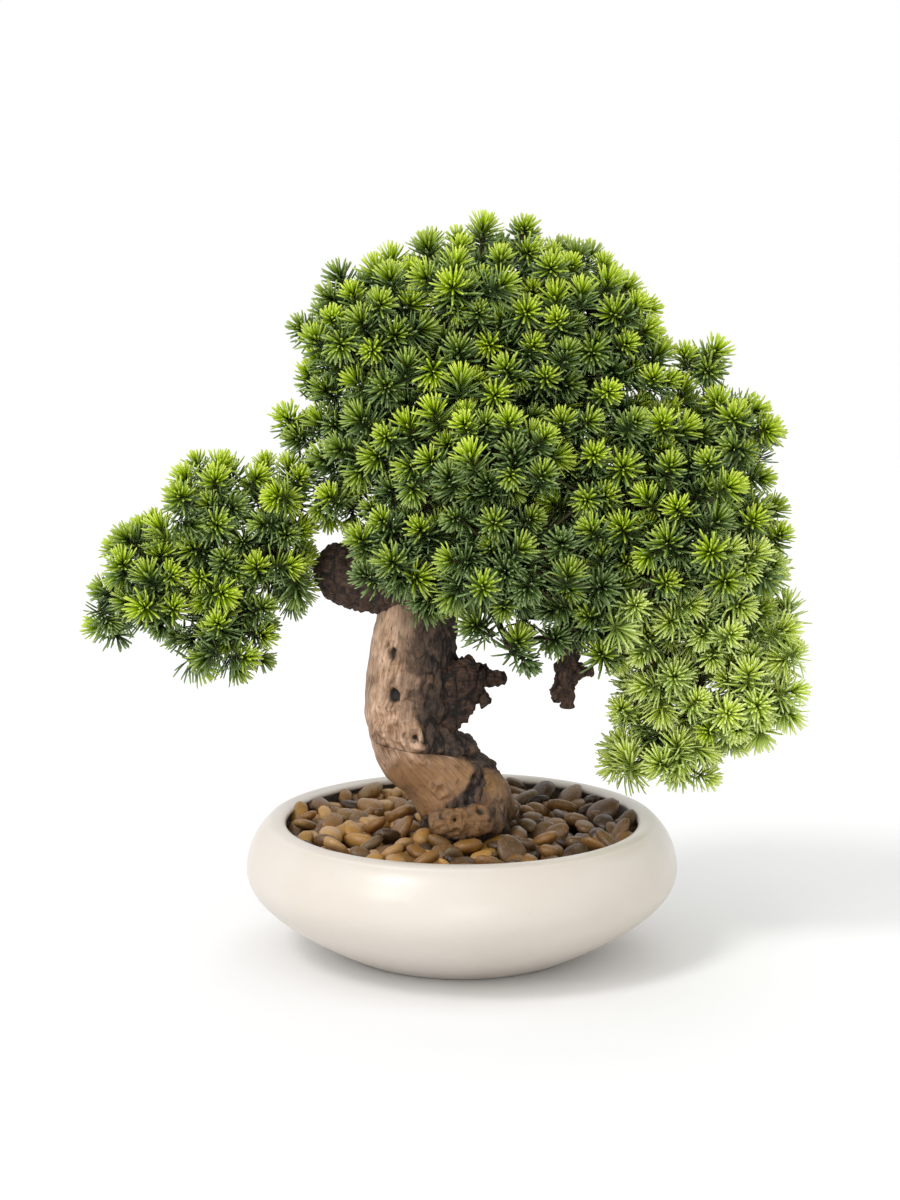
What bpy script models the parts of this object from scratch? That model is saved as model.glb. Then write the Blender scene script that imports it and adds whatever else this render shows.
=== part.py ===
"""Artificial pine bonsai standing in a round bowl of pebbles.

Metres, +Z up.  The origin is the middle of the bowl's flat underside, +X is to the
right of the tree and +Y is to its back.  The bowl, its filler, the driftwood trunk and
the limbs are solid pieces.  Every spray of needles is an open shell whose outside is
the envelope of the needle tips, so that limbs and stems run free inside it.
"""
import math

import bmesh
import bpy
from mathutils import Matrix, Vector, noise
from mathutils.bvhtree import BVHTree

# ---------------------------------------------------------------- driving sizes
GAP = 0.0003             # clearance between pieces that touch
BOWL_R = 0.1745          # widest radius of the bowl
BOWL_H = 0.109           # bowl height
WIDEST_Z = 0.069          # height of the widest part
SHOULDER_R = 0.1515      # radius where the wall turns over into the lip
RIM_R = 0.1465           # middle of the rolled lip
FOOT_R = 0.092           # flat the bowl stands on
WALL = 0.0065            # bowl wall
PEBBLE_TOP = BOWL_H - 0.0115   # mean height of the pebbles
FILL_TOP = PEBBLE_TOP - 0.0175   # top of the filling under the pebbles
PEBBLE_LUMP = 0.0035     # how far the pebbles rise and fall
ROD_R = 0.004            # steel rod through both trunk pieces
SEAM_Z = 0.168           # height of the joint between the two trunk pieces
TRUNK_SCALE = 1.0        # thickness of the trunk
STEM_R = 0.0018          # plastic-covered wire stems
BOUGH_R = 0.0042         # thick wire-cored boughs
SHELL = 0.0030           # thickness of a needle shell
SPRAY = 1.0              # size of every spray about its own middle
SWING_LEFT = math.radians(7)     # how far each bough bends to either side
SWING_RIGHT = math.radians(8)
SWING_TAIL = math.radians(7)
ROUND = 48                       # sides of everything turned round the bowl's axis
SPARE = math.radians(1.4)        # free angle left between sprays at full swing
SPLIT_Z = 0.4525                 # level of the gap under the crown, which twists
SPLIT = 0.0012                   # half the gap between sprays that move apart

# trunk line from the pebbles to its top: x, y, z, radius
TRUNK = ((0.028, 0.000, 0.048, 0.042), (0.0066, 0.000, 0.094, 0.0375),
         (-0.003, 0.000, 0.118, 0.0400), (-0.010, 0.000, 0.134, 0.0410),
         (-0.024, 0.000, 0.156, 0.0375), (-0.037, 0.001, 0.176, 0.0325),
         (-0.040, 0.002, 0.205, 0.0350), (-0.037, 0.002, 0.238, 0.0350),
         (-0.035, 0.001, 0.271, 0.0315), (-0.033, 0.000, 0.300, 0.0305),
         (-0.029, 0.000, 0.326, 0.0275), (-0.025, 0.000, 0.352, 0.0215))
CROWN_LIMB = ((-0.026, 0.000, 0.335, 0.015), (-0.018, 0.000, 0.372, 0.015),
              (-0.006, 0.002, 0.405, 0.013), (0.006, 0.002, 0.433, 0.0105))
LEFT_LIMB = ((-0.030, 0.000, 0.300, 0.023), (-0.062, -0.002, 0.303, 0.024),
             (-0.088, 0.000, 0.309, 0.0225), (-0.110, 0.000, 0.313, 0.015))
RIGHT_LIMB = ((-0.026, 0.000, 0.322, 0.015), (0.020, 0.010, 0.343, 0.014),
              (0.065, 0.008, 0.352, 0.012), (0.098, 0.000, 0.358, 0.010))
FRONT_LIMB = ((-0.020, -0.006, 0.286, 0.013), (0.018, -0.026, 0.294, 0.012),
              (0.055, -0.034, 0.297, 0.010), (0.086, -0.034, 0.288, 0.008))
BACK_LIMB = ((-0.026, 0.006, 0.306, 0.013), (-0.004, 0.036, 0.322, 0.011),
             (0.022, 0.060, 0.338, 0.008))
BROKEN_STUB = (((-0.020, -0.004, 0.222, 0.017), (0.006, -0.006, 0.222, 0.0125),
                (0.022, -0.004, 0.226, 0.0085), (0.034, -0.002, 0.231, 0.0045)),
               ((0.004, -0.006, 0.217, 0.0095), (0.015, -0.008, 0.209, 0.0065),
                (0.023, -0.008, 0.203, 0.0035)))
HANGING_STUB = (((0.084, -0.034, 0.288, 0.0065), (0.087, -0.033, 0.258, 0.0068),
                 (0.087, -0.032, 0.236, 0.0085), (0.085, -0.032, 0.211, 0.0035)),
                ((0.087, -0.032, 0.238, 0.0060), (0.097, -0.033, 0.231, 0.0050),
                 (0.1005, -0.034, 0.222, 0.0030)),
                ((0.086, -0.032, 0.236, 0.0060), (0.078, -0.036, 0.228, 0.0045),
                 (0.073, -0.038, 0.219, 0.0028)))
ROOT = ((0.034, -0.022, PEBBLE_TOP + 0.0005, 0.0085), (0.026, -0.042, PEBBLE_TOP + 0.0095, 0.0095),
        (0.006, -0.052, PEBBLE_TOP + 0.0115, 0.0105), (-0.014, -0.047, PEBBLE_TOP + 0.0065, 0.0085))
ROD = (Vector((0.004, 0.0, 0.012)), Vector((-0.052, 0.0, 0.226)))

# pivots of the boughs that bend
PIVOT_LEFT = Vector((-0.128, 0.000, 0.316))
PIVOT_RIGHT = Vector((0.116, 0.000, 0.362))
PIVOT_TAIL = Vector((0.196, 0.000, 0.262))
PIVOT_CROWN = Vector((0.012, 0.002, 0.452))

# sprays: the group they belong to, their middle and their radii
SPRAYS = {
    "crown_left": ("crown", (-0.058, 0.000, 0.508), (0.066, 0.078, 0.060)),
    "crown_top": ("crown", (0.012, 0.000, 0.537), (0.072, 0.085, 0.062)),
    "crown_right": ("crown", (0.090, 0.000, 0.518), (0.072, 0.080, 0.058)),
    "upper_left": ("trunk", (-0.062, -0.010, 0.422), (0.055, 0.078, 0.060)),
    "upper_front": ("trunk", (0.018, -0.070, 0.418), (0.075, 0.070, 0.062)),
    "upper_back": ("trunk", (0.012, 0.070, 0.415), (0.090, 0.072, 0.066)),
    "lower_left": ("trunk", (-0.046, -0.062, 0.345), (0.052, 0.052, 0.048)),
    "lower_front": ("trunk", (0.035, -0.080, 0.330), (0.072, 0.065, 0.060)),
    "lower_back": ("trunk", (0.020, 0.085, 0.325), (0.085, 0.060, 0.066)),
    "hanging": ("trunk", (0.034, -0.074, 0.268), (0.044, 0.044, 0.040)),
    "right_upper": ("right", (0.172, 0.000, 0.400), (0.070, 0.082, 0.056)),
    "right_front": ("right", (0.165, -0.060, 0.345), (0.068, 0.062, 0.068)),
    "right_back": ("right", (0.170, 0.060, 0.340), (0.072, 0.062, 0.072)),
    "right_end": ("right", (0.222, 0.000, 0.338), (0.056, 0.080, 0.076)),
    "tail_right": ("tail", (0.222, 0.000, 0.222), (0.056, 0.066, 0.064)),
    "tail_left": ("tail", (0.163, -0.002, 0.222), (0.050, 0.062, 0.050)),
    "tail_tip": ("tail", (0.166, -0.006, 0.166), (0.052, 0.054, 0.038)),
    "left_inner": ("left", (-0.150, -0.003, 0.348), (0.040, 0.058, 0.053)),
    "left_upper": ("left", (-0.198, -0.003, 0.360), (0.045, 0.062, 0.050)),
    "left_end": ("left", (-0.246, -0.003, 0.305), (0.048, 0.062, 0.058)),
    "left_lower": ("left", (-0.188, -0.006, 0.268), (0.056, 0.060, 0.046)),
    "sprig_left": ("trunk", (-0.134, 0.000, 0.430), (0.023, 0.023, 0.021)),
    "sprig_right": ("crown", (0.192, 0.000, 0.481), (0.025, 0.025, 0.022)),
}
CORES = {"crown": Vector((0.012, 0.0, 0.475)), "trunk": Vector((0.000, 0.0, 0.385)),
         "right": Vector((0.135, 0.0, 0.355)), "tail": Vector((0.190, 0.0, 0.245)),
         "left": Vector((-0.155, 0.0, 0.315))}

# how far behind its middle each spray reaches, as a share of its depth
WRAP = {"crown": -0.40, "trunk": -0.05, "right": -0.40, "tail": -0.35, "left": -0.35,
        "crown_top": -0.55, "lower_left": 0.10, "lower_front": 0.05, "right_upper": -0.60,
        "right_end": -0.20}

# colour, roughness, metallic
FINISH = {"glaze": ((0.80, 0.76, 0.69), 0.28, 0.0), "filling": ((0.42, 0.40, 0.37), 0.9, 0.0),
          "steel": ((0.55, 0.55, 0.56), 0.35, 1.0), "stone": ((0.22, 0.15, 0.09), 0.55, 0.0),
          "wood": ((0.38, 0.25, 0.15), 0.7, 0.0), "dark_wood": ((0.05, 0.03, 0.018), 0.8, 0.0),
          "stem": ((0.10, 0.075, 0.03), 0.6, 0.0), "needles": ((0.16, 0.26, 0.04), 0.5, 0.0)}


# ---------------------------------------------------------------- small helpers
def start():
    """Empty the scene and make the two collections."""
    for ob in list(bpy.data.objects):
        bpy.data.objects.remove(ob, do_unlink=True)
    rooms = []
    for name in ("artificial_bonsai", "cutters"):
        room = bpy.data.collections.new(name)
        bpy.context.scene.collection.children.link(room)
        rooms.append(room)
    return rooms


def material(name):
    """One Principled material per finish."""
    mat = bpy.data.materials.get(name)
    if mat is None:
        colour, rough, metal = FINISH[name]
        mat = bpy.data.materials.new(name)
        mat.use_nodes = True
        shader = mat.node_tree.nodes["Principled BSDF"]
        shader.inputs["Base Color"].default_value = (*colour, 1.0)
        shader.inputs["Roughness"].default_value = rough
        shader.inputs["Metallic"].default_value = metal
    return mat


def add(name, mesh, finish, room, origin=None):
    """Put a mesh in the scene, with its origin moved to a joint axis if given."""
    if origin is not None:
        mesh.transform(Matrix.Translation(-origin))
    ob = bpy.data.objects.new(name, mesh)
    if origin is not None:
        ob.location = origin
    room.objects.link(ob)
    if finish:
        mesh.materials.clear()
        mesh.materials.append(material(finish))
    else:
        ob.hide_render = True
        ob.display_type = "WIRE"
    return ob


def boolean(ob, other, how):
    """Exact Boolean of ob with other."""
    mod = ob.modifiers.new(how.lower(), "BOOLEAN")
    mod.operation = how
    mod.solver = "EXACT"
    mod.object = other


def tube(points, sides=8, steps=4, grow=0.0, straight_end=False):
    """Closed mesh of a round limb through points of x, y, z, radius."""
    data = bpy.data.curves.new("limb_line", "CURVE")
    data.dimensions = "3D"
    data.bevel_depth = 1.0
    data.bevel_resolution = sides // 2 - 2
    data.use_fill_caps = True
    data.resolution_u = steps
    line = data.splines.new("BEZIER")
    line.bezier_points.add(len(points) - 1)
    for knot, (x, y, z, r) in zip(line.bezier_points, points):
        knot.co = (x, y, z)
        knot.radius = r + grow
        knot.handle_left_type = knot.handle_right_type = "AUTO"
    if straight_end:
        for knot in list(line.bezier_points)[-2:]:
            knot.handle_left_type = knot.handle_right_type = "VECTOR"
    ob = bpy.data.objects.new("limb_line", data)
    bpy.context.scene.collection.objects.link(ob)
    bpy.context.view_layer.update()
    mesh = bpy.data.meshes.new_from_object(ob.evaluated_get(bpy.context.evaluated_depsgraph_get()))
    bpy.data.objects.remove(ob, do_unlink=True)
    bm = bmesh.new()
    bm.from_mesh(mesh)
    bmesh.ops.remove_doubles(bm, verts=bm.verts, dist=1e-6)
    bmesh.ops.recalc_face_normals(bm, faces=bm.faces)
    bm.to_mesh(mesh)
    bm.free()
    return mesh


def roughen(mesh, amount, size, grow=0.0):
    """Push the surface in and out like weathered wood, grow it evenly if asked."""
    bm = bmesh.new()
    bm.from_mesh(mesh)
    bm.normal_update()
    moves = []
    for v in bm.verts:
        lump = noise.noise(v.co / size) + 0.5 * noise.noise(v.co / size * 2.3)
        moves.append(v.normal * (amount * lump + grow))
    for v, move in zip(bm.verts, moves):
        v.co += move
    bmesh.ops.triangulate(bm, faces=bm.faces, quad_method="FIXED")
    bm.to_mesh(mesh)
    bm.free()
    return mesh


def ball(middle, radius, room=None, name="ball"):
    """Small ball used where a bough turns on its pivot."""
    bm = bmesh.new()
    bmesh.ops.create_icosphere(bm, subdivisions=2, radius=radius)
    bmesh.ops.translate(bm, vec=middle, verts=bm.verts)
    mesh = bpy.data.meshes.new(name)
    bm.to_mesh(mesh)
    bm.free()
    return mesh


def lathe(name, outline, steps, finish, room):
    """Turn an outline of (radius, height) points round the Z axis."""
    mesh = bpy.data.meshes.new(name)
    mesh.from_pydata([(r, 0.0, z) for r, z in outline], [(i, i + 1) for i in range(len(outline) - 1)], [])
    ob = add(name, mesh, finish, room)
    mod = ob.modifiers.new("turn", "SCREW")
    mod.steps = mod.render_steps = steps
    mod.use_merge_vertices = True
    mod.merge_threshold = 0.00005
    mod.use_smooth_shade = False
    return ob


# ---------------------------------------------------------------- bowl and filling
def bowl_radius(z):
    """Outside radius of the bowl at height z: wide low belly, shoulder leaning in."""
    if z < WIDEST_Z:
        return FOOT_R + (BOWL_R - FOOT_R) * math.sin(z / WIDEST_Z * math.pi / 2) ** 0.95
    t = (z - WIDEST_Z) / (BOWL_H - WIDEST_Z)
    return SHOULDER_R + (BOWL_R - SHOULDER_R) * math.cos(t * math.pi / 2) ** 0.6


def inside_knots():
    """Radius and height of the points the bowl's inside is turned from, floor first."""
    floor = WALL + 0.001
    heights = [floor + (BOWL_H - 0.0045 - floor) * (i / 11) for i in range(12)]
    return [(bowl_radius(z) - WALL - (0.004 if i == 0 else 0.0), z) for i, z in enumerate(heights)]


def inner_radius(z, clear=0.0):
    """Inside radius of the bowl at height z, less a clearance."""
    knots = inside_knots()
    for (r0, z0), (r1, z1) in zip(knots, knots[1:]):
        if z <= z1:
            return r0 + (r1 - r0) * (z - z0) / (z1 - z0) - clear
    return knots[-1][0] - clear


def bowl(room):
    """Bowl with a flat foot and a rolled lip that leans inwards."""
    heights = [(BOWL_H - 0.0035) * (1 - i / 14) for i in range(15)]
    outside = [(bowl_radius(z), z) for z in heights]
    outside = [(RIM_R - 0.001, BOWL_H), (RIM_R + 0.0025, BOWL_H - 0.0004),
               (RIM_R + 0.0052, BOWL_H - 0.0016)] + outside
    floor = WALL + 0.001
    inside = [(0.0, floor)] + inside_knots()
    lip = [(RIM_R - 0.0036, BOWL_H - 0.0022), (RIM_R - 0.0030, BOWL_H - 0.0008)]
    outline = outside + [(0.0, 0.0)] + inside + lip + [outside[0]]
    return lathe("bowl", outline, ROUND, "glaze", room)


def filler(room):
    """Light rigid filling of the bowl, up to just under the pebbles."""
    knots = [(r - 2 * GAP, z + GAP) for r, z in inside_knots() if z + GAP < FILL_TOP - 0.001]
    outline = [(0.0, FILL_TOP), (inner_radius(FILL_TOP, 2 * GAP), FILL_TOP)]
    outline += list(reversed(knots)) + [(0.0, knots[0][1])]
    return lathe("filler_block", outline, ROUND, "filling", room)


def pebbles(room):
    """Bed of pebbles as one lumpy ring round the foot of the trunk."""
    low = FILL_TOP + GAP
    top = PEBBLE_TOP
    rim = inner_radius(top + PEBBLE_LUMP, 0.004)
    rings = [rim * (1 - i / 10) for i in range(10)]
    outline = [(0.0, top)] + [(r, top) for r in reversed(rings)]
    outline += [(inner_radius((low + top) / 2, 0.001), (low + top) / 2),
                (inner_radius(low, 0.001), low), (0.0, low)]
    mesh = bpy.data.meshes.new("pebble_outline")
    mesh.from_pydata([(r, 0.0, z) for r, z in outline], [(i, i + 1) for i in range(len(outline) - 1)], [])
    bm = bmesh.new()
    bm.from_mesh(mesh)
    bmesh.ops.spin(bm, geom=bm.verts[:] + bm.edges[:], axis=(0, 0, 1), cent=(0, 0, 0),
                   angle=2 * math.pi, steps=ROUND, use_merge=True)
    bmesh.ops.remove_doubles(bm, verts=bm.verts, dist=1e-5)
    bmesh.ops.recalc_face_normals(bm, faces=bm.faces)
    for v in bm.verts:
        if v.co.z > top - 1e-5 and v.co.to_2d().length < rim - 0.004:
            v.co.z += PEBBLE_LUMP * noise.noise(v.co * 90.0)
    bmesh.ops.triangulate(bm, faces=bm.faces, quad_method="FIXED")
    bm.to_mesh(mesh)
    bm.free()
    return add("pebble_bed", mesh, "stone", room)


# ---------------------------------------------------------------- wood
def trunk_mesh(grow=0.0):
    """Whole trunk as one closed mesh."""
    line = [(x, y, z, r * TRUNK_SCALE) for x, y, z, r in TRUNK]
    return roughen(tube(line, sides=16, steps=3), 0.0022, 0.030, grow)


def sliced(bm, point, normal):
    """Cut away what lies beyond a plane and close the cut with a flat face."""
    cut = bmesh.ops.bisect_plane(bm, geom=bm.verts[:] + bm.edges[:] + bm.faces[:], plane_co=point,
                                 plane_no=normal, clear_outer=True)
    rim = [e for e in cut["geom_cut"] if isinstance(e, bmesh.types.BMEdge)]
    bmesh.ops.contextual_create(bm, geom=rim)


def half_trunk(name, mesh, upper, finish, room):
    """Keep the part of the trunk above or below the leaning seam."""
    lean = Vector((0.15, 0.0, 1.0)).normalized()
    way = -1 if upper else 1
    bm = bmesh.new()
    bm.from_mesh(mesh)
    sliced(bm, Vector((-0.030, 0.0, SEAM_Z)) - lean * (way * GAP / 2), lean * way)
    if not upper:
        sliced(bm, Vector((0.0, 0.0, FILL_TOP + GAP)), Vector((0.0, 0.0, -1.0)))
    bmesh.ops.recalc_face_normals(bm, faces=bm.faces)
    half = bpy.data.meshes.new(name)
    bm.to_mesh(half)
    bm.free()
    return add(name, half, finish, room)


def limb(name, points, finish, room, cutters, grown, sides=10, rough=0.0012):
    """Solid limb, coped to sit against the pieces it grows from."""
    sets = points if isinstance(points[0][0], tuple) else (points,)
    first = roughen(tube(sets[0], sides=sides, steps=3), rough, 0.014)
    ob = add(name, first, finish, room)
    for i, extra in enumerate(sets[1:]):
        boolean(ob, add(f"{name}_arm_{i}", tube(extra, sides=8, steps=3), None, cutters), "UNION")
    for piece in grown:
        boolean(ob, piece, "DIFFERENCE")
    return ob


# ---------------------------------------------------------------- foliage
# bough, its pivot, the way its sprays lie, the hinge direction, its swing
WEDGES = (("right", PIVOT_RIGHT, Vector((1, 0, 0)), "Z", SWING_RIGHT),
          ("left", PIVOT_LEFT + Vector((0.012, 0, 0)), Vector((-1, 0, 0)), "Y", SWING_LEFT),
          ("tail", PIVOT_TAIL, Vector((0, 0, -1)), "Y", SWING_TAIL))
OVER = {"sprig_left": "left"}    # a spray standing clear above a bough
# for each bough, what swings with it and what stays
PARTED = {"right": (("right", "tail"), ("trunk",)), "left": (("left",), ("trunk",)),
          "tail": (("tail",), ("right",))}


def hinge_planes(name, group):
    """Planes (point, normal) a spray keeps behind, so that each bough can swing."""
    up = Vector((0, 0, 1))
    level = Vector((0, 0, SPLIT_Z))
    planes = [(level + up * SPLIT, -up) if group == "crown" else (level - up * SPLIT, up)]
    for bough, pivot, out, hinge, swing in WEDGES:
        movers, stays = PARTED[bough]
        if group not in movers + stays or OVER.get(name) == bough:
            continue
        side = -1 if group in movers else 1
        for sign in (-1, 1):
            turn = Matrix.Rotation(sign * (swing + SPARE) / 2, 3, hinge)
            planes.append((pivot - out * SPLIT * side, (turn @ out) * side))
    return planes


def shell_surface(name):
    """Outer surface of one spray: part of an ellipsoid inside its own cell."""
    group, middle, radii = SPRAYS[name]
    c = Vector(middle)
    r = Vector(radii) * SPRAY
    bm = bmesh.new()
    bmesh.ops.create_icosphere(bm, subdivisions=3 if max(radii) > 0.03 else 2, radius=1.0)
    for v in bm.verts:
        way = v.co.copy()
        puff = 1.0 + 0.05 * noise.noise(way * 3.1 + c * 40.0)
        v.co = c + Vector((way.x * r.x, way.y * r.y, way.z * r.z)) * puff
    planes = []
    for other, (_, oc, orad) in SPRAYS.items():
        if other == name:
            continue
        step = Vector(oc) - c
        way = step.normalized()
        mine = math.sqrt(sum((way[i] * r[i]) ** 2 for i in range(3)))
        theirs = math.sqrt(sum((way[i] * orad[i] * SPRAY) ** 2 for i in range(3)))
        if mine + theirs + 0.008 > step.length and min(mine, theirs) > 0.0:
            share = mine / (mine + theirs)
            planes.append((c + step * share - way * 0.0008, way))
    planes += hinge_planes(name, group)
    out = (c - CORES[group])
    if out.length < 0.01:
        out = Vector((0, 0, 1))
    out.normalize()
    depth = math.sqrt(sum((out[i] * r[i]) ** 2 for i in range(3)))
    planes.append((c + out * depth * WRAP.get(name, WRAP[group]), -out))
    for point, normal in planes:
        bmesh.ops.bisect_plane(bm, geom=bm.verts[:] + bm.edges[:] + bm.faces[:], plane_co=point,
                               plane_no=normal, dist=1e-6, clear_outer=True)
    bmesh.ops.remove_doubles(bm, verts=bm.verts, dist=2e-4)
    return bm, out


def largest_patch(bm):
    """Keep only the biggest connected patch of the surface."""
    left = set(bm.faces)
    best = []
    while left:
        seed = left.pop()
        patch, edge = [seed], [seed]
        while edge:
            face = edge.pop()
            for e in face.edges:
                for f in e.link_faces:
                    if f in left:
                        left.discard(f)
                        patch.append(f)
                        edge.append(f)
        if sum(f.calc_area() for f in patch) > sum(f.calc_area() for f in best):
            best = patch
    keep = set(best)
    bmesh.ops.delete(bm, geom=[f for f in bm.faces if f not in keep], context="FACES")


def spray(name, room, origin=None):
    """Needle shell of one spray; returns it and the end its stem should reach."""
    bm, out = shell_surface(name)
    largest_patch(bm)
    bmesh.ops.recalc_face_normals(bm, faces=bm.faces)
    c = Vector(SPRAYS[name][1])
    away = sum((f.calc_center_median() - c).dot(f.normal) for f in bm.faces)
    if away < 0:
        bmesh.ops.reverse_faces(bm, faces=bm.faces)
    bm.normal_update()
    weight = sum((f.calc_center_median() * f.calc_area() for f in bm.faces), Vector())
    weight /= sum(f.calc_area() for f in bm.faces)
    tree = BVHTree.FromBMesh(bm)
    aim = (weight - c)
    aim = aim.normalized() if aim.length > 0.004 else out
    hit, normal, _, _ = tree.ray_cast(c - aim * 0.004, aim)
    if hit is None:
        hit, normal, _, _ = tree.find_nearest(weight)
    mesh = bpy.data.meshes.new(name + "_needles")
    bm.to_mesh(mesh)
    bm.free()
    ob = add(name + "_needles", mesh, "needles", room, origin)
    mod = ob.modifiers.new("thickness", "SOLIDIFY")
    mod.thickness = SHELL
    mod.offset = -1.0
    mod.use_even_offset = False
    return ob, hit, normal


def stem_line(root, hit, normal, radius):
    """Stem from root to the inside of a needle shell, arriving square to it."""
    end = hit - normal * (SHELL * 1.05 + GAP + 0.0003)
    before = end - normal * 0.010
    middle = (root + before) / 2 + (before - root).length * 0.08 * Vector((0, 0, 1))
    return ((*root, radius * 1.25), (*middle, radius * 1.1), (*before, radius), (*end, radius))


# where the stems of the fixed sprays start, and on which limb
STEM_ROOTS = {"upper_left": ("crown_limb", (-0.012, 0.000, 0.388)),
              "upper_front": ("crown_limb", (-0.002, 0.000, 0.412)),
              "upper_back": ("crown_limb", (-0.008, 0.002, 0.398)),
              "lower_left": ("trunk_main", (-0.032, -0.004, 0.316)),
              "lower_front": ("front_limb", (0.036, -0.031, 0.296)),
              "lower_back": ("back_limb", (0.016, 0.055, 0.334)),
              "hanging": ("front_limb", (0.020, -0.027, 0.294)),
              "sprig_left": ("crown_limb", (-0.018, 0.000, 0.374))}
# stems that pass out between the needles of another spray
PASSES = {"sprig_left": "upper_left", "sprig_right": "crown_right"}
PASS_CLEAR = 0.0012              # free room round such a stem
BOUGHS = {"crown": ("crown_bough", PIVOT_CROWN, ((0.013, 0.001, 0.478), (0.012, 0.0, 0.502))),
          "right": ("right_bough", PIVOT_RIGHT, ((0.150, 0.0, 0.362), (0.186, 0.0, 0.344),
                                                 (0.194, 0.0, 0.300), (0.196, 0.0, 0.271))),
          "tail": ("tail_bough", PIVOT_TAIL, ((0.196, 0.0, 0.236), (0.188, 0.0, 0.206))),
          "left": ("left_bough", PIVOT_LEFT, ((-0.158, 0.0, 0.320), (-0.192, 0.0, 0.316),
                                              (-0.222, 0.0, 0.308)))}


def pass_through(name, line, shells, cutters):
    """Leave room round a stem where it passes out through another spray's shell."""
    if name in PASSES:
        room_round = tube(line, sides=6, steps=3, straight_end=True, grow=PASS_CLEAR)
        boolean(shells[PASSES[name]], add(name + "_pass", room_round, None, cutters), "DIFFERENCE")


def build():
    """Make every piece of the tree."""
    room, cutters = start()
    pot = bowl(room)
    fill = filler(room)
    bed = pebbles(room)

    # steel rod, and the bore it needs in the filler and both trunk pieces
    line = ROD[1] - ROD[0]
    for name, radius, extra, finish, where in (("anchor_rod", ROD_R, 0.0, "steel", room),
                                               ("rod_bore", ROD_R + GAP, 0.001, None, cutters)):
        bm = bmesh.new()
        bmesh.ops.create_cone(bm, cap_ends=True, segments=20, radius1=radius, radius2=radius,
                              depth=line.length + 2 * extra)
        turn = Vector((0, 0, 1)).rotation_difference(line.normalized()).to_matrix().to_4x4()
        bm.transform(Matrix.Translation((ROD[0] + ROD[1]) / 2) @ turn)
        mesh = bpy.data.meshes.new(name)
        bm.to_mesh(mesh)
        bm.free()
        made = add(name, mesh, finish, where)
    bore = made
    boolean(fill, bore, "DIFFERENCE")

    whole = trunk_mesh()
    foot = half_trunk("trunk_foot", whole, False, "wood", room)
    main = half_trunk("trunk_main", whole, True, "wood", room)
    for piece in (foot, main):
        boolean(piece, bore, "DIFFERENCE")
    grown_trunk = add("trunk_grown", trunk_mesh(GAP), None, cutters)
    root = limb("root_knuckle", ROOT, "wood", room, cutters, (grown_trunk,), sides=10, rough=0.0008)
    grown_root = roughen(tube(ROOT, sides=10, steps=3), 0.0008, 0.014, GAP)
    grown_root = add("root_grown", grown_root, None, cutters)
    boolean(bed, grown_trunk, "DIFFERENCE")
    boolean(bed, grown_root, "DIFFERENCE")

    grown = {"trunk_main": grown_trunk}
    for name, points, finish in (("crown_limb", CROWN_LIMB, "wood"), ("left_limb", LEFT_LIMB, "dark_wood"),
                                 ("right_limb", RIGHT_LIMB, "dark_wood"),
                                 ("front_limb", FRONT_LIMB, "wood"), ("back_limb", BACK_LIMB, "dark_wood")):
        limb(name, points, finish, room, cutters, list(grown.values()))
        bigger = roughen(tube(points, sides=10, steps=3), 0.0012, 0.014, GAP)
        grown[name] = add(name + "_grown", bigger, None, cutters)
    limb("broken_stub", BROKEN_STUB, "wood", room, cutters, list(grown.values()), rough=0.0010)
    limb("hanging_stub", HANGING_STUB, "dark_wood", room, cutters, (grown["front_limb"],), rough=0.0005)

    # boughs that bend, each with its sprays
    ends = {}
    shells = {}
    for name, (group, _, _) in SPRAYS.items():
        pivot = BOUGHS[group][1] if group in BOUGHS else None
        shells[name], hit, normal = spray(name, room, pivot)
        ends[name] = (hit, normal)
    for group, (name, pivot, path) in BOUGHS.items():
        points = [(*pivot, BOUGH_R * 0.93)] + [(*p, BOUGH_R * (1 - 0.12 * i)) for i, p in enumerate(path)]
        ob = add(name, tube(points, sides=10, steps=3), "stem", room, pivot)
        arms = [("knuckle", ball(pivot, BOUGH_R))]
        for other, (their_group, _, _) in SPRAYS.items():
            if their_group != group:
                continue
            hit, normal = ends[other]
            near = min((Vector(p) for p in path[:-1]), key=lambda p: (p - hit).length)
            line = stem_line(near, hit, normal, STEM_R)
            arms.append((other, tube(line, sides=6, steps=3, straight_end=True)))
            pass_through(other, line, shells, cutters)
        for label, mesh in arms:
            boolean(ob, add(f"{name}_{label}", mesh, None, cutters), "UNION")

    # stems of the sprays fixed to the wood
    for name, (host, root_point) in STEM_ROOTS.items():
        hit, normal = ends[name]
        points = stem_line(Vector(root_point), hit, normal, STEM_R)
        ob = add(name + "_stem", tube(points, sides=6, steps=3, straight_end=True), "stem", room)
        boolean(ob, grown[host], "DIFFERENCE")
        pass_through(name, points, shells, cutters)
    return room


build()
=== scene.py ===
"""Artificial pine bonsai in a round bowl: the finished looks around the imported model.

Every length is in metres, +Z is up, +X is the tree's right and +Y its back.  The trunk,
the bowl, the pebbles and the needles are surfaces worked out with numpy on parameter
grids.  Each moving bough carries its own tufts.
"""
import logging
import math
from dataclasses import dataclass
from enum import Enum

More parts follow.
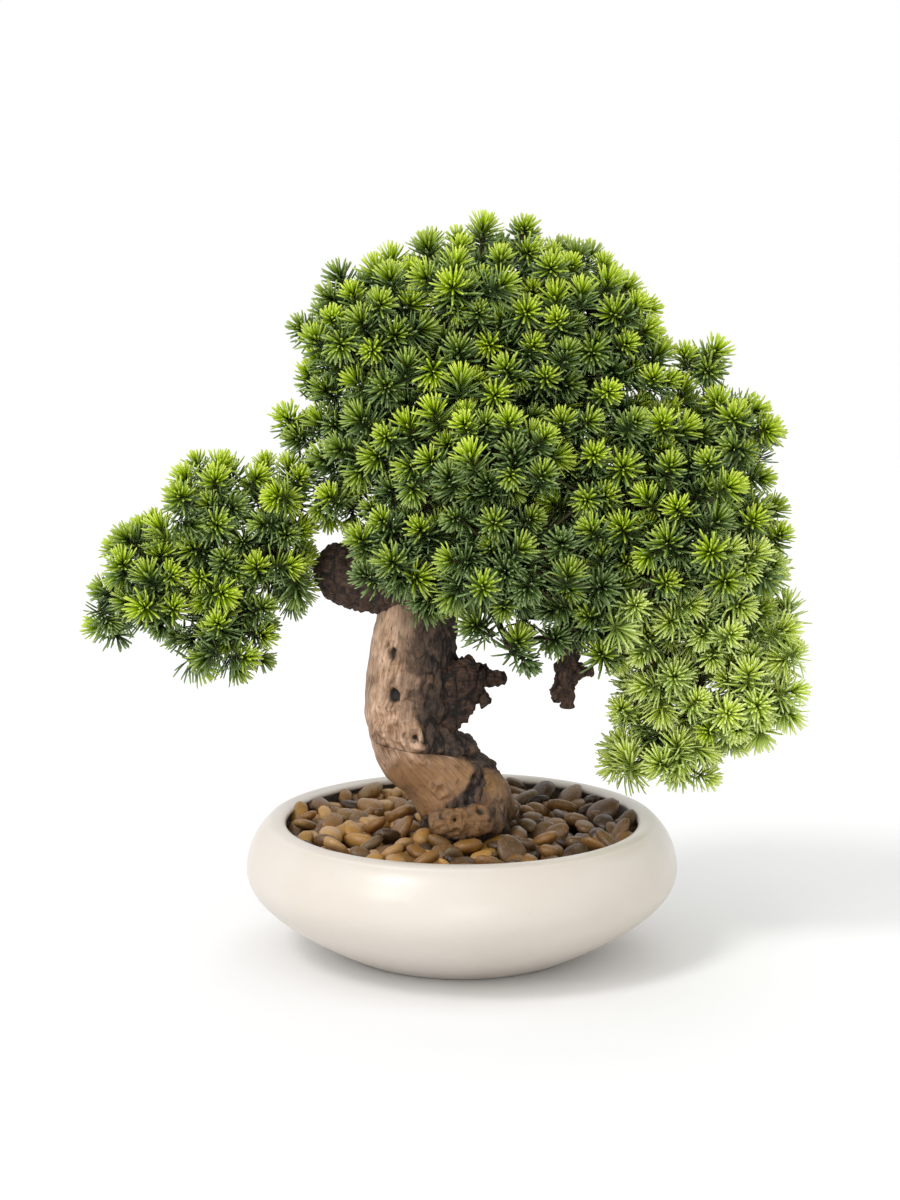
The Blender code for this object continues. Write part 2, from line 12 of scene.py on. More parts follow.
import bpy
import numpy as np
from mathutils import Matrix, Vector


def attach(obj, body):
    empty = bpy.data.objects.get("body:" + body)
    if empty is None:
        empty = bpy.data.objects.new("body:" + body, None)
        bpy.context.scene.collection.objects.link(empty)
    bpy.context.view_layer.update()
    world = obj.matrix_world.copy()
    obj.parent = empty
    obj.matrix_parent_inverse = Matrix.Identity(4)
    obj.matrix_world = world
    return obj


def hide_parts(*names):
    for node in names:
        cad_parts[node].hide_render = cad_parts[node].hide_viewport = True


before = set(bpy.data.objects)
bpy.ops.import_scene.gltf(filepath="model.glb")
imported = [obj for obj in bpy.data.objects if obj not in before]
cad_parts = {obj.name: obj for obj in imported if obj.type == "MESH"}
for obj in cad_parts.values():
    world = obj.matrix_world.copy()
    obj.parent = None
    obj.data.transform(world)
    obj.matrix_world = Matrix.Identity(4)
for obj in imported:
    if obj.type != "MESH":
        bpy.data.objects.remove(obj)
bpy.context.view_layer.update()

log = logging.getLogger("bonsai")
Array = np.ndarray
Colour = tuple[float, float, float]
TAU = 2.0 * math.pi
GOLDEN = math.pi * (3.0 - math.sqrt(5.0))


def srgb(red: float, green: float, blue: float) -> Colour:
    """Turn a screen colour of 0 to 255 into the linear colour that shaders use.

    Args:
        red: Screen red, 0 to 255.
        green: Screen green, 0 to 255.
        blue: Screen blue, 0 to 255.

    Returns:
        The linear colour.
    """
    parts = [c / 255.0 for c in (red, green, blue)]
    return tuple(c / 12.92 if c <= 0.04045 else ((c + 0.055) / 1.055) ** 2.4 for c in parts)


# ------------------------------------------------------------------ shader bench
class Wire:
    """A value socket that can be used in sums; each sum adds its Math node."""

    def __init__(self, bench: "Bench", socket: bpy.types.NodeSocket) -> None:
        """Hold one output socket of a bench."""
        self.bench = bench
        self.socket = socket

    def math(self, operation: str, first: object, second: object = None) -> "Wire":
        """Add one Math node.

        Args:
            operation: Blender's name of the operation.
            first: Number or wire for the first input.
            second: Number or wire for the second input, if it has one.

        Returns:
            The result.
        """
        values = {0: first} if second is None else {0: first, 1: second}
        return self.bench.node("ShaderNodeMath", {"operation": operation}, values)

    def __add__(self, other: object) -> "Wire":
        """Sum."""
        return self.math("ADD", self, other)

    __radd__ = __add__

    def __sub__(self, other: object) -> "Wire":
        """Difference."""
        return self.math("SUBTRACT", self, other)

    def __rsub__(self, other: object) -> "Wire":
        """Difference, turned round."""
        return self.math("SUBTRACT", other, self)

    def __mul__(self, other: object) -> "Wire":
        """Product."""
        return self.math("MULTIPLY", self, other)

    __rmul__ = __mul__

    def held(self, low: float = 0.0, high: float = 1.0) -> "Wire":
        """The value held between two numbers."""
        return self.math("MINIMUM", self.math("MAXIMUM", self, low), high)

    def step(self, low: float, high: float) -> "Wire":
        """A soft step that rises from 0 at low to 1 at high."""
        settings = {"interpolation_type": "SMOOTHSTEP"}
        return self.bench.node("ShaderNodeMapRange", settings, {0: self, 1: low, 2: high})


class Bench:
    """One material being wired up."""

    def __init__(self, name: str) -> None:
        """Start a material with an empty Principled shader.

        Args:
            name: Name of the material.
        """
        self.material = bpy.data.materials.new(name)
        self.material.use_nodes = True
        self.tree = self.material.node_tree
        self.shader = self.tree.nodes["Principled BSDF"]

    def node(self, kind: str, settings: dict[str, object] | None = None,
             values: dict[object, object] | None = None, out: object = 0) -> Wire:
        """Add any node: its settings first, then its sockets.

        Args:
            kind: Node type.
            settings: Properties of the node; "stops" fills a colour ramp.
            values: Socket name or number to a number, colour or wire.
            out: Name or number of the output wanted.

        Returns:
            That output.
        """
        made = self.tree.nodes.new(kind)
        for key, value in (settings or {}).items():
            if key == "stops":
                self._fill_ramp(made.color_ramp, value)
            else:
                setattr(made, key, value)
        for key, value in (values or {}).items():
            self.put(made.inputs[key], value)
        return Wire(self, made.outputs[out])

    def put(self, socket: bpy.types.NodeSocket, value: object) -> None:
        """Link a wire to a socket, or set the socket's own value."""
        if isinstance(value, Wire):
            self.tree.links.new(value.socket, socket)
        elif isinstance(value, tuple) and len(value) == 3 and socket.type == "RGBA":
            socket.default_value = (*value, 1.0)
        else:
            socket.default_value = value

    @staticmethod
    def _fill_ramp(ramp: bpy.types.ColorRamp, stops: list[tuple[float, Colour]]) -> None:
        """Give a colour ramp its stops."""
        while len(ramp.elements) < len(stops):
            ramp.elements.new(0.5)
        for element, (place, colour) in zip(ramp.elements, stops):
            element.position = place
            element.color = (*colour, 1.0)

    def place(self, stretch: tuple[float, float, float] = (1.0, 1.0, 1.0)) -> Wire:
        """Object coordinates, stretched along each axis."""
        raw = self.node("ShaderNodeTexCoord", out="Object")
        return self.node("ShaderNodeMapping", None, {"Vector": raw, "Scale": stretch})

    def skin(self, stretch: tuple[float, float, float] = (1.0, 1.0, 1.0)) -> Wire:
        """The piece's own UV map, stretched."""
        raw = self.node("ShaderNodeUVMap", {"uv_map": SKIN_UV})
        return self.node("ShaderNodeMapping", None, {"Vector": raw, "Scale": stretch})

    def noise(self, where: Wire, scale: float, detail: float = 3.0, rough: float = 0.55,
              distortion: float = 0.0) -> Wire:
        """Cloudy noise of 0 to 1."""
        return self.node("ShaderNodeTexNoise", None,
                         {"Vector": where, "Scale": scale, "Detail": detail,
                          "Roughness": rough, "Distortion": distortion}, "Fac")

    def ramp(self, fac: Wire, stops: list[tuple[float, Colour]]) -> Wire:
        """Colour picked along a ramp."""
        return self.node("ShaderNodeValToRGB", {"stops": stops}, {"Fac": fac})

    def mix(self, fac: object, first: object, second: object, blend: str = "MIX") -> Wire:
        """Mix two colours.

        Args:
            fac: Share of the second.
            first: Colour or wire.
            second: Colour or wire.
            blend: Blender's name of the blend.

        Returns:
            The mixed colour.
        """
        settings = {"data_type": "RGBA", "blend_type": blend}
        return self.node("ShaderNodeMix", settings, {0: fac, 6: first, 7: second}, 2)

    def attribute(self, name: str) -> Wire:
        """A number stored on the piece's corners or points."""
        return self.node("ShaderNodeAttribute", {"attribute_name": name}, None, "Fac")

    def bump(self, height: Wire, strength: float, distance: float) -> Wire:
        """A normal bent by a height."""
        return self.node("ShaderNodeBump", None,
                         {"Height": height, "Strength": strength, "Distance": distance})

    def finish(self, **sockets: object) -> bpy.types.Material:
        """Set the shader's sockets and hand the material over.

        Args:
            **sockets: Socket names with underscores for spaces.

        Returns:
            The material.
        """
        for key, value in sockets.items():
            self.put(self.shader.inputs[key.replace("_", " ")], value)
        return self.material


SKIN_UV = "Skin"
NEEDLE_UV = "OFBake"


# ------------------------------------------------------------------ finishes
@dataclass(frozen=True)
class Glaze:
    """Warm white satin glaze with a little cloudiness and a few specks."""

    body: Colour = srgb(206, 198, 189)
    warm: Colour = srgb(198, 188, 173)
    speck: Colour = srgb(160, 146, 124)

    def material(self) -> bpy.types.Material:
        """Wire the glaze."""
        b = Bench("bowl_glaze")
        where = b.place()
        clouds = b.noise(where, 9.0, 3.0)
        colour = b.mix(clouds.step(0.35, 0.75) * 0.6, self.body, self.warm)
        specks = b.noise(where, 620.0, 1.0).step(0.735, 0.775)
        colour = b.mix(specks * 0.35, colour, self.speck)
        orange_peel = b.noise(where, 95.0, 2.0)
        return b.finish(Base_Color=colour, Roughness=0.30 + clouds * 0.12, Coat_Weight=0.25,
                        Coat_Roughness=0.22, Normal=b.bump(orange_peel, 0.05, 0.0006))


@dataclass(frozen=True)
class Driftwood:
    """Weathered wood: pale tan where smooth, dark grey-brown where bark is left."""

    name: str
    pale: Colour = srgb(208, 174, 147)
    tan: Colour = srgb(158, 125, 97)
    brown: Colour = srgb(106, 79, 58)
    ochre: Colour = srgb(160, 121, 74)
    ochre_z: float = 0.163
    slant: float = 1.77
    slant_z: float = 0.257
    edge: Colour = srgb(106, 82, 62)
    bark: Colour = srgb(78, 62, 52)
    dark: Colour = srgb(32, 24, 20)

    def material(self) -> bpy.types.Material:
        """Wire the wood: long fibres along the skin, bark by attribute, and holes darkened by
        attribute as painted shade.
        """
        b = Bench(self.name)
        where = b.place()
        fibre = b.noise(b.skin((1.0, 0.12, 1.0)), 26.0, 5.0, 0.62, 0.5)
        fine = b.noise(b.skin((1.0, 0.07, 1.0)), 110.0, 3.0, 0.6)
        blotch = b.noise(where, 42.0, 4.0, 0.62)
        tone = fibre * 0.5 + blotch * 0.5
        smooth = b.ramp(tone, [(0.38, self.brown), (0.47, self.tan), (0.60, self.pale)])
        height = b.node("ShaderNodeSeparateXYZ", None, {0: where}, "Z")
        ragged = height + (blotch - 0.5) * 0.012
        low = 1.0 - ragged.step(self.ochre_z - 0.007, self.ochre_z + 0.008)
        sideways = b.node("ShaderNodeSeparateXYZ", None, {0: where}, "X")
        slanted = sideways * self.slant - height + self.slant_z + (blotch - 0.5) * 0.02
        low = low * slanted.step(-0.006, 0.010)
        smooth = b.mix(low * 0.85, smooth, b.mix(0.75, smooth, self.ochre, "MULTIPLY"))
        smooth = b.mix(low * 0.45, smooth, self.ochre)
        smooth = b.mix(low * blotch.step(0.50, 0.66) * 0.6, smooth, self.brown)
        smooth = b.mix(fine.step(0.56, 0.72) * 0.45, smooth, self.brown)
        pits = b.noise(b.place((1.0, 1.0, 0.5)), 240.0, 2.0).step(0.64, 0.70)
        smooth = b.mix(pits * 0.55, smooth, self.bark)
        bark = b.attribute("bark")
        smooth = b.mix((bark + (blotch - 0.5) * 0.5).step(0.12, 0.52) * 0.75, smooth, self.edge)
        flakes = b.noise(b.place((1.0, 1.0, 0.55)), 130.0, 5.0, 0.7)
        rind = b.ramp(flakes * 0.65 + blotch * 0.35,
                      [(0.40, self.dark), (0.51, self.bark), (0.62, self.edge), (0.74, self.tan)])
        cover = (bark + (flakes - 0.5) * 0.7).step(0.40, 0.60)
        colour = b.mix(cover, smooth, rind)
        # holes and bark crevices darkened: painted shade
        colour = b.mix(b.attribute("hollow").step(0.10, 0.70), colour, self.dark)
        relief = fibre * 0.35 + fine * 0.25 + cover * flakes * 1.8 - pits * 0.25
        return b.finish(Base_Color=colour, Roughness=0.58 + cover * 0.26,
                        Normal=b.bump(relief, 0.85, 0.0028))


@dataclass(frozen=True)
class DarkWood:
    """Very dark brown, rough broken wood."""

    name: str
    dark: Colour = srgb(30, 21, 17)
    brown: Colour = srgb(72, 51, 39)
    scuff_and_highlight: Colour = srgb(116, 90, 70)

    def material(self) -> bpy.types.Material:
        """Wire the dark wood: coarse fibre, paler on its ridges, partly scuffs and partly painted
        highlight.
        """
        b = Bench(self.name)
        fibre = b.noise(b.skin((1.0, 0.16, 1.0)), 24.0, 5.0, 0.65, 0.8)
        flakes = b.noise(b.place(), 150.0, 5.0, 0.72)
        both = fibre * 0.45 + flakes * 0.55
        # paler on the ridges of the bump: partly scuffs, partly painted highlight
        colour = b.ramp(both, [(0.40, self.dark), (0.53, self.brown), (0.68, self.scuff_and_highlight)])
        # holes and bark crevices darkened: painted shade
        colour = b.mix(b.attribute("hollow").step(0.08, 0.6), colour, self.dark)
        return b.finish(Base_Color=colour, Roughness=0.84, Normal=b.bump(both, 0.9, 0.0032))


@dataclass(frozen=True)
class Pebble:
    """Polished river stones, each with its own colour and veining, darker to the right as painted
    shadow.
    """

    shades: tuple[Colour, ...] = (srgb(34, 21, 11), srgb(68, 45, 22), srgb(106, 76, 42),
                                  srgb(134, 92, 36), srgb(92, 74, 50), srgb(168, 122, 46),
                                  srgb(158, 120, 80), srgb(192, 150, 84))

    def material(self) -> bpy.types.Material:
        """Wire the stones: shade by attribute, which holds each stone's tone and the painted shadow
        on the right, then veins and clouds.
        """
        b = Bench("pebbles")
        where = b.place()
        shade = b.attribute("shade")
        count = len(self.shades)
        stops = [(i / (count - 1), c) for i, c in enumerate(self.shades)]
        clouds = b.noise(where, 85.0, 4.0, 0.6, 0.4)
        colour = b.ramp((shade + (clouds - 0.5) * 0.22).held(), stops)
        veins = b.noise(where, 140.0, 2.0, 0.5, 1.6)
        line = 1.0 - (veins - 0.5).math("ABSOLUTE", veins - 0.5).step(0.0, 0.030)
        colour = b.mix(line * 0.16, colour, srgb(204, 178, 138))
        grit = b.noise(where, 700.0, 2.0)
        colour = b.mix(grit.step(0.5, 0.8) * 0.35, colour, srgb(40, 28, 18))
        return b.finish(Base_Color=colour, Roughness=0.34 + clouds * 0.30, Coat_Weight=0.06,
                        Coat_Roughness=0.2, Normal=b.bump(grit + clouds * 2.0, 0.25, 0.0006))


@dataclass(frozen=True)
class NeedleGreen:
    """Moulded needles, coloured by a map: U is how old a needle is, with painted shade added, V
    runs from root to tip.

    The map's left half holds the usual greens and its right half the sun-bleached ones.
    """

    fresh: tuple[Colour, ...] = (srgb(114, 142, 10), srgb(172, 202, 10), srgb(218, 232, 92))
    old: tuple[Colour, ...] = (srgb(36, 50, 20), srgb(72, 97, 46), srgb(138, 162, 104))
    pale_fresh: tuple[Colour, ...] = (srgb(176, 202, 58), srgb(218, 238, 88), srgb(240, 249, 164))
    pale_old: tuple[Colour, ...] = (srgb(96, 118, 46), srgb(170, 196, 92), srgb(220, 236, 158))
    places: tuple[float, ...] = (0.0, 0.52, 1.0)

    def material(self) -> bpy.types.Material:
        """Wire the needles: a colour for each place on the map and nothing else."""
        b = Bench("needles")
        uv = b.node("ShaderNodeUVMap", {"uv_map": NEEDLE_UV})
        split = b.node("ShaderNodeSeparateXYZ", None, {0: uv}, "X")
        along = Wire(b, split.socket.node.outputs["Y"])
        bleached = split.math("GREATER_THAN", split, 0.5)
        age = (split * 2.0 - bleached).held()
        sets = [b.ramp(along, list(zip(self.places, colours)))
                for colours in (self.fresh, self.old, self.pale_fresh, self.pale_old)]
        usual = b.mix(age, sets[0], sets[1])
        pale = b.mix(age, sets[2], sets[3])
        return b.finish(Base_Color=b.mix(bleached, usual, pale), Roughness=0.42,
                        Specular_IOR_Level=0.4)


@dataclass(frozen=True)
class StemPlastic:
    """Brown plastic moulded over wire, greener towards the ends."""

    brown: Colour = srgb(70, 52, 30)
    green: Colour = srgb(66, 74, 28)

    def material(self) -> bpy.types.Material:
        """Wire the stems."""
        b = Bench("stem_plastic")
        where = b.place()
        patch = b.noise(where, 60.0, 3.0)
        colour = b.mix(patch.step(0.4, 0.65), self.brown, self.green)
        scales = b.noise(where, 420.0, 2.0)
        return b.finish(Base_Color=colour, Roughness=0.55 + patch * 0.2,
                        Normal=b.bump(scales, 0.5, 0.0008))


@dataclass(frozen=True)
class Hidden:
    """Plain working finishes of pieces that hardly show: the filling and the rod."""

    name: str
    first: Colour
    second: Colour
    metallic: float = 0.0

    def material(self) -> bpy.types.Material:
        """Wire a mottled rough surface."""
        b = Bench(self.name)
        spots = b.noise(b.place(), 260.0, 4.0, 0.65)
        return b.finish(Base_Color=b.mix(spots.step(0.35, 0.7), self.first, self.second),
                        Roughness=0.55 + spots * 0.35, Metallic=self.metallic,
                        Normal=b.bump(spots, 0.5, 0.0010))


@dataclass(frozen=True)
class FloorPaper:
    """Plain pale paper floor."""

    shade: float = 0.82

    def material(self) -> bpy.types.Material:
        """Wire the floor."""
        b = Bench("floor_paper")
        grain = b.noise(b.place(), 40.0, 2.0)
        first = (self.shade, self.shade, self.shade)
        second = (self.shade * 0.99, self.shade * 0.99, self.shade * 0.985)
        return b.finish(Base_Color=b.mix(grain, first, second), Roughness=0.9)


# ------------------------------------------------------------------ numpy shapes
def lattice(points: Array, seed: int) -> Array:
    """Smooth noise of -1 to 1 in space.

    Each corner of a unit lattice has a number from a hash of its place, and a point
    blends its eight corners with the weight 3t^2 - 2t^3 along each axis.

    Args:
        points: Places, shape (..., 3), in lattice units.
        seed: Which noise.

    Returns:
        The noise, shape (...).
    """
    base = np.floor(points).astype(np.int64)
    t = points - base
    t = t * t * (3.0 - 2.0 * t)
    total = np.zeros(points.shape[:-1])
    for corner in np.ndindex(2, 2, 2):
        cell = base + np.array(corner)
        mixed = (cell[..., 0] * 73856093) ^ (cell[..., 1] * 19349663) ^ (cell[..., 2] * 83492791)
        mixed = (mixed ^ (seed * 2654435761)) & 0xFFFFFFFF
        mixed = ((mixed ^ (mixed >> 15)) * 2246822519) & 0xFFFFFFFF
        mixed = ((mixed ^ (mixed >> 13)) * 3266489917) & 0xFFFFFFFF
        value = (mixed ^ (mixed >> 16)) / 2147483648.0 - 1.0
        weight = np.prod(np.where(np.array(corner) == 1, t, 1.0 - t), axis=-1)
        total += value * weight
    return total


def clouds(points: Array, size: float, layers: int, seed: int) -> Array:
    """Layered noise: each layer is twice as fine and half as strong as the one before.

    Args:
        points: Places in metres, shape (..., 3).
        size: Size of the coarsest lumps in metres.
        layers: Number of layers.
        seed: Which noise.

    Returns:
        Noise of about -1 to 1, shape (...).
    """
    total = np.zeros(points.shape[:-1])
    for i in range(layers):
        total += lattice(points / size * 2.0 ** i, seed + i) * 0.5 ** i
    return total / (2.0 - 0.5 ** (layers - 1))


def through(knots: Array, count: int) -> Array:
    """Smooth line through knots, every number of each knot carried along with it.

    Catmull-Rom: between two knots the line is the cubic whose slope at each knot is
    half the step from the knot before it to the knot after it.

    Args:
        knots: Knots, shape (n, k).
        count: Number of places wanted.

    Returns:
        Places evenly spread over the knots, shape (count, k).
    """
    padded = np.vstack([2 * knots[0] - knots[1], knots, 2 * knots[-1] - knots[-2]])
    s = np.linspace(0.0, len(knots) - 1.0, count)
    i = np.minimum(s.astype(int), len(knots) - 2)
    t = (s - i)[:, None]
    a, b, c, d = (padded[i + j] for j in range(4))
    return 0.5 * (2 * b + (c - a) * t + (2 * a - 5 * b + 4 * c - d) * t ** 2
                  + (3 * b - a - 3 * c + d) * t ** 3)


def unit(v: Array) -> Array:
    """Vectors at length one."""
    return v / np.maximum(np.linalg.norm(v, axis=-1, keepdims=True), 1e-12)


def across(line: Array) -> tuple[Array, Array]:
    """Two directions square to a line at each place, without twist jumps.

    Args:
        line: Places along the line, shape (n, 3).

    Returns:
        Two unit directions, each of shape (n, 3).
    """
    way = unit(np.gradient(line, axis=0))
    steep = abs(way[:, 1]).max() >= 0.9
    guide = np.array([1.0, 0.0, 0.0]) if steep else np.array([0.0, 1.0, 0.0])
    first = unit(np.cross(guide, way))
    return first, np.cross(way, first)


def grid_faces(rows: int, columns: int) -> Array:
    """Quads of a grid whose columns close on themselves."""
    r, c = np.meshgrid(np.arange(rows - 1), np.arange(columns), indexing="ij")
    n = (c + 1) % columns
    low, high = r * columns, (r + 1) * columns
    return np.stack([low + c, low + n, high + n, high + c], axis=-1).reshape(-1, 4)


def closed_faces(rows: int, columns: int) -> list[Array]:
    """Faces of a closed grid with a fan over each end.

    The first row's fan meets at the point after the grid, the last row's at the next.

    Args:
        rows: Rows of points.
        columns: Points in a row.

    Returns:
        The quads, the first fan and the last fan.
    """
    ring = np.arange(columns)
    turned = (ring + 1) % columns
    count, last = rows * columns, (rows - 1) * columns
    return [grid_faces(rows, columns),
            np.stack([turned, ring, np.full(columns, count)], axis=1),
            np.stack([last + ring, last + turned, np.full(columns, count + 1)], axis=1)]


def piece(name: str, points: Array, faces: list[Array], material: bpy.types.Material,
          uv: Array | None = None, uv_name: str = SKIN_UV,
          numbers: dict[str, Array] | None = None, smooth: bool = True) -> bpy.types.Object:
    """Make an object at the origin from arrays.

    Args:
        name: Name of the piece.
        points: Vertices, shape (n, 3).
        faces: Arrays of faces, each of shape (m, corners).
        material: Its finish.
        uv: UV place of each vertex, or of each face corner.
        uv_name: Name of the UV map.
        numbers: Extra numbers stored on the vertices.
        smooth: Whether its faces are shaded smooth.

    Returns:
        The object.
    """
    mesh = bpy.data.meshes.new(name)
    sizes = np.concatenate([np.full(len(f), f.shape[1]) for f in faces]).astype(np.int32)
    corners = np.concatenate([f.reshape(-1) for f in faces]).astype(np.int32)
    mesh.vertices.add(len(points))
    mesh.vertices.foreach_set("co", points.astype(np.float32).reshape(-1))
    mesh.loops.add(len(corners))
    mesh.loops.foreach_set("vertex_index", corners)
    mesh.polygons.add(len(sizes))
    starts = np.concatenate([[0], np.cumsum(sizes)[:-1]]).astype(np.int32)
    mesh.polygons.foreach_set("loop_start", starts)
    mesh.polygons.foreach_set("loop_total", sizes)
    mesh.update(calc_edges=True)
    mesh.polygons.foreach_set("use_smooth", np.full(len(sizes), smooth))
    if uv is not None:
        layer = mesh.uv_layers.new(name=uv_name)
        spread = uv[corners] if len(uv) == len(points) else uv
        layer.data.foreach_set("uv", spread.astype(np.float32).reshape(-1))
    for label, values in (numbers or {}).items():
        store = mesh.attributes.new(label, "FLOAT", "POINT")
        store.data.foreach_set("value", values.astype(np.float32))
    mesh.validate()
    mesh.materials.append(material)
    made = bpy.data.objects.new(name, mesh)
    bpy.context.scene.collection.objects.link(made)
    return made


def settle(made: bpy.types.Object, body: str, slot: str, *nodes: str) -> None:
    """Let a piece ride on its body and hide what it stands for.

    Args:
        made: The piece.
        body: Body that carries it.
        slot: The record's material slot; not used.
        *nodes: Nodes of the plain model that it replaces.
    """
    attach(made, body)
    if nodes:
        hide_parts(*nodes)
    log.info("%s: %d faces on %s", made.name, len(made.data.polygons), body)


# ------------------------------------------------------------------ bowl
@dataclass
class Bowl:
    """Round bowl: flat foot, wide belly, shoulder turned in to a rolled lip."""

    foot: float = 0.092
    widest: float = 0.1745
    widest_z: float = 0.069
    shoulder: float = 0.1515
    rim: float = 0.1465
    height: float = 0.109
    wall: float = 0.0065
    lip: float = 0.0044
    sides: int = 180

    def radius(self, z: Array) -> Array:
        """Outside radius: a power of a sine up to the belly, then of a cosine to the shoulder."""
        low = self.foot + (self.widest - self.foot) * np.sin(
            np.clip(z / self.widest_z, 0, 1) * math.pi / 2) ** 0.95
        t = np.clip((z - self.widest_z) / (self.height - self.widest_z), 0, 1)
        high = self.shoulder + (self.widest - self.shoulder) * np.cos(t * math.pi / 2) ** 0.6
        return np.where(z < self.widest_z, low, high)

    def outline(self) -> Array:
        """Radius and height of the turned outline, from the middle of the underside."""
        shoulder_z = self.height - 0.0035
        z = shoulder_z * (1 - np.cos(np.linspace(0, math.pi, 56))) / 2
        outside = np.stack([self.radius(z), z], axis=1)
        outside[0] = (self.foot - 0.0008, 0.0)
        outside[1] = (self.foot + 0.0004, 0.0005)
        first, last = outside[-1], np.array([self.rim - 0.0042, self.height - 0.0046])
        middle = np.array([(first[0] + last[0]) / 2, self.height - self.lip])
        half = (first[0] - last[0]) / 2
        turn = np.linspace(0.12, 0.88, 14) * math.pi
        roll = np.stack([middle[0] + half * np.cos(turn),
                         middle[1] + self.lip * np.sin(turn)], axis=1)
        inside_z = np.linspace(self.height - 0.0075, self.wall + 0.001, 22)
        inside = np.stack([self.radius(inside_z) - self.wall, inside_z], axis=1)
        foot = np.array([[0.0, 0.0], [self.foot * 0.5, 0.0]])
        floor = np.array([[self.foot * 0.4, self.wall + 0.001], [0.0, self.wall + 0.001]])
        return np.vstack([foot, outside, roll, last[None], inside, floor])

    def build(self) -> None:
        """Turn the outline round the middle and close it at both ends."""
        line = self.outline()
        body = line[1:-1]
        angle = np.arange(self.sides) / self.sides * TAU
        r, z = body[:, 0][:, None], body[:, 1][:, None] + 0 * angle
        points = np.stack([r * np.cos(angle), r * np.sin(angle), z], axis=-1).reshape(-1, 3)
        points = np.vstack([points, [[0, 0, 0.0]], [[0, 0, line[-1, 1]]]])
        faces = closed_faces(len(body), self.sides)
        made = piece("bowl_turned", points, faces, Glaze().material())
        settle(made, "pot_and_trunk", "bowl_glaze", "bowl")


# ------------------------------------------------------------------ pebbles
@dataclass
class Pebbles:
    """Layer of separate river pebbles lying round the foot of the trunk.

    Each layer has its height over the bed, how many places are tried, the least and the
    greatest half-length, and how much room a pebble asks for.
    """

    inner_x: float = 0.006
    inner_r: float = 0.040
    outer_r: float = 0.1475
    bed_z: float = 0.0925
    layers: tuple[tuple[float, int, float, float, float], ...] = (
        (0.0, 2600, 0.0085, 0.0165, 1.34), (0.0068, 1800, 0.008, 0.0145, 1.9))
    around: int = 12
    rings: int = 6
    seed: int = 11

    def places(self) -> tuple[Array, Array]:
        """Scatter pebbles so that none sits closer than its size allows.

        Returns:
            Middles, shape (n, 3), and long half-lengths, shape (n,).
        """
        rng = np.random.default_rng(self.seed)
        found: list[tuple[float, float, float, float]] = []
        for level, tries, least, most, room in self.layers:
            kept: list[tuple[float, float, float]] = []
            for _ in range(tries):
                half = rng.uniform(least, most)
                r = math.sqrt(rng.uniform(0, 1)) * (self.outer_r - half * 0.95)
                a = rng.uniform(0, TAU)
                x, y = r * math.cos(a), r * math.sin(a)
                if math.hypot(x - self.inner_x, y) < self.inner_r + half * 0.55:
                    continue
                if all(math.hypot(x - px, y - py) > (half + ph) * room * 0.5
                       for px, py, ph in kept):
                    kept.append((x, y, half))
                    rise = 0.0035 * (r / self.outer_r) ** 3 + rng.uniform(-0.001, 0.0020)
                    found.append((x, y, self.bed_z + level + rise, half))
        table = np.array(found)
        return table[:, :3], table[:, 3]

    def build(self) -> None:
        """Lay a squashed, lumpy egg at each place.

        A point at angles u and v lies at (cos v cos u, cos v sin u, sin v) times three
        half-lengths, pushed out by noise of its own, then turned and tilted.
        """
        middles, halves = self.places()
        rng = np.random.default_rng(self.seed + 1)
        n = len(middles)
        u = np.arange(self.around) / self.around * TAU
        v = (np.arange(1, self.rings + 1) / (self.rings + 1) - 0.5) * math.pi
        ring = np.stack([np.cos(v)[:, None] * np.cos(u), np.cos(v)[:, None] * np.sin(u),
                         np.sin(v)[:, None] + 0 * u], axis=-1).reshape(-1, 3)
        egg = np.vstack([ring, [[0, 0, -1]], [[0, 0, 1]]])
        egg = np.sign(egg) * np.abs(egg) ** 0.88
        wide = rng.uniform(0.62, 0.86, n)
        flat = rng.uniform(0.42, 0.62, n)
        size = np.stack([halves, halves * wide, halves * flat], axis=1)
        own = lattice(egg[None] * 1.15 + rng.uniform(-50, 50, (n, 1, 3)), 5)
        shape = egg[None] * size[:, None, :] * (1.0 + 0.16 * own[..., None])
        spin, tilt, lean = rng.uniform(0, TAU, n), rng.normal(0, 0.32, n), rng.normal(0, 0.32, n)
        cs, sn = np.cos(spin), np.sin(spin)
        turned = np.stack([shape[..., 0] * cs[:, None] - shape[..., 1] * sn[:, None],
                           shape[..., 0] * sn[:, None] + shape[..., 1] * cs[:, None],
                           shape[..., 2]], axis=-1)
        turned[..., 2] += (turned[..., 0] * np.tan(tilt)[:, None]
                           + turned[..., 1] * np.tan(lean)[:, None])
        points = turned + middles[:, None, :]
        per = len(egg)
        shift = (np.arange(n) * per)[:, None, None]
        faces = [(f[None] + shift).reshape(-1, f.shape[1])
                 for f in closed_faces(self.rings, self.around)]
        # pebbles towards the right are darker: painted shadow of the trunk and the foliage
        painted_shade_right = np.clip((middles[:, 0] + 0.02) / 0.10, 0, 1)
        shade = np.repeat(np.clip(rng.beta(1.8, 1.1, n) * (1.0 - 0.62 * painted_shade_right), 0, 1), per)
        made = piece("pebble_layer", points.reshape(-1, 3), faces, Pebble().material(),
                     numbers={"shade": shade})
        settle(made, "pot_and_trunk", "pebbles", "pebble_bed")


# ------------------------------------------------------------------ wood
class End(Enum):
    """How a length of wood ends."""

    FLAT = "flat"
    BLUNT = "blunt"


class Rind(Enum):
    """Where dark bark covers a length of wood."""

    UPPER = "right half of the upper trunk"
    LOWER = "right edge of the foot"
    ALL = "everywhere"
    PATCHES = "in patches"


@dataclass
class Knot:
    """A knot on the skin.

    Its place and width, how far its ring stands out, how deep its eye is, how much painted
    shade darkens it, how wide the eye is as a share of the knot, and how far bark is worn off round
    it.
    """

    at: tuple[float, float, float]
    width: float = 0.006
    rise: float = 0.0018
    eye: float = 0.0045
    shade: float = 1.0
    pupil: float = 0.62
    bare: float = 0.0


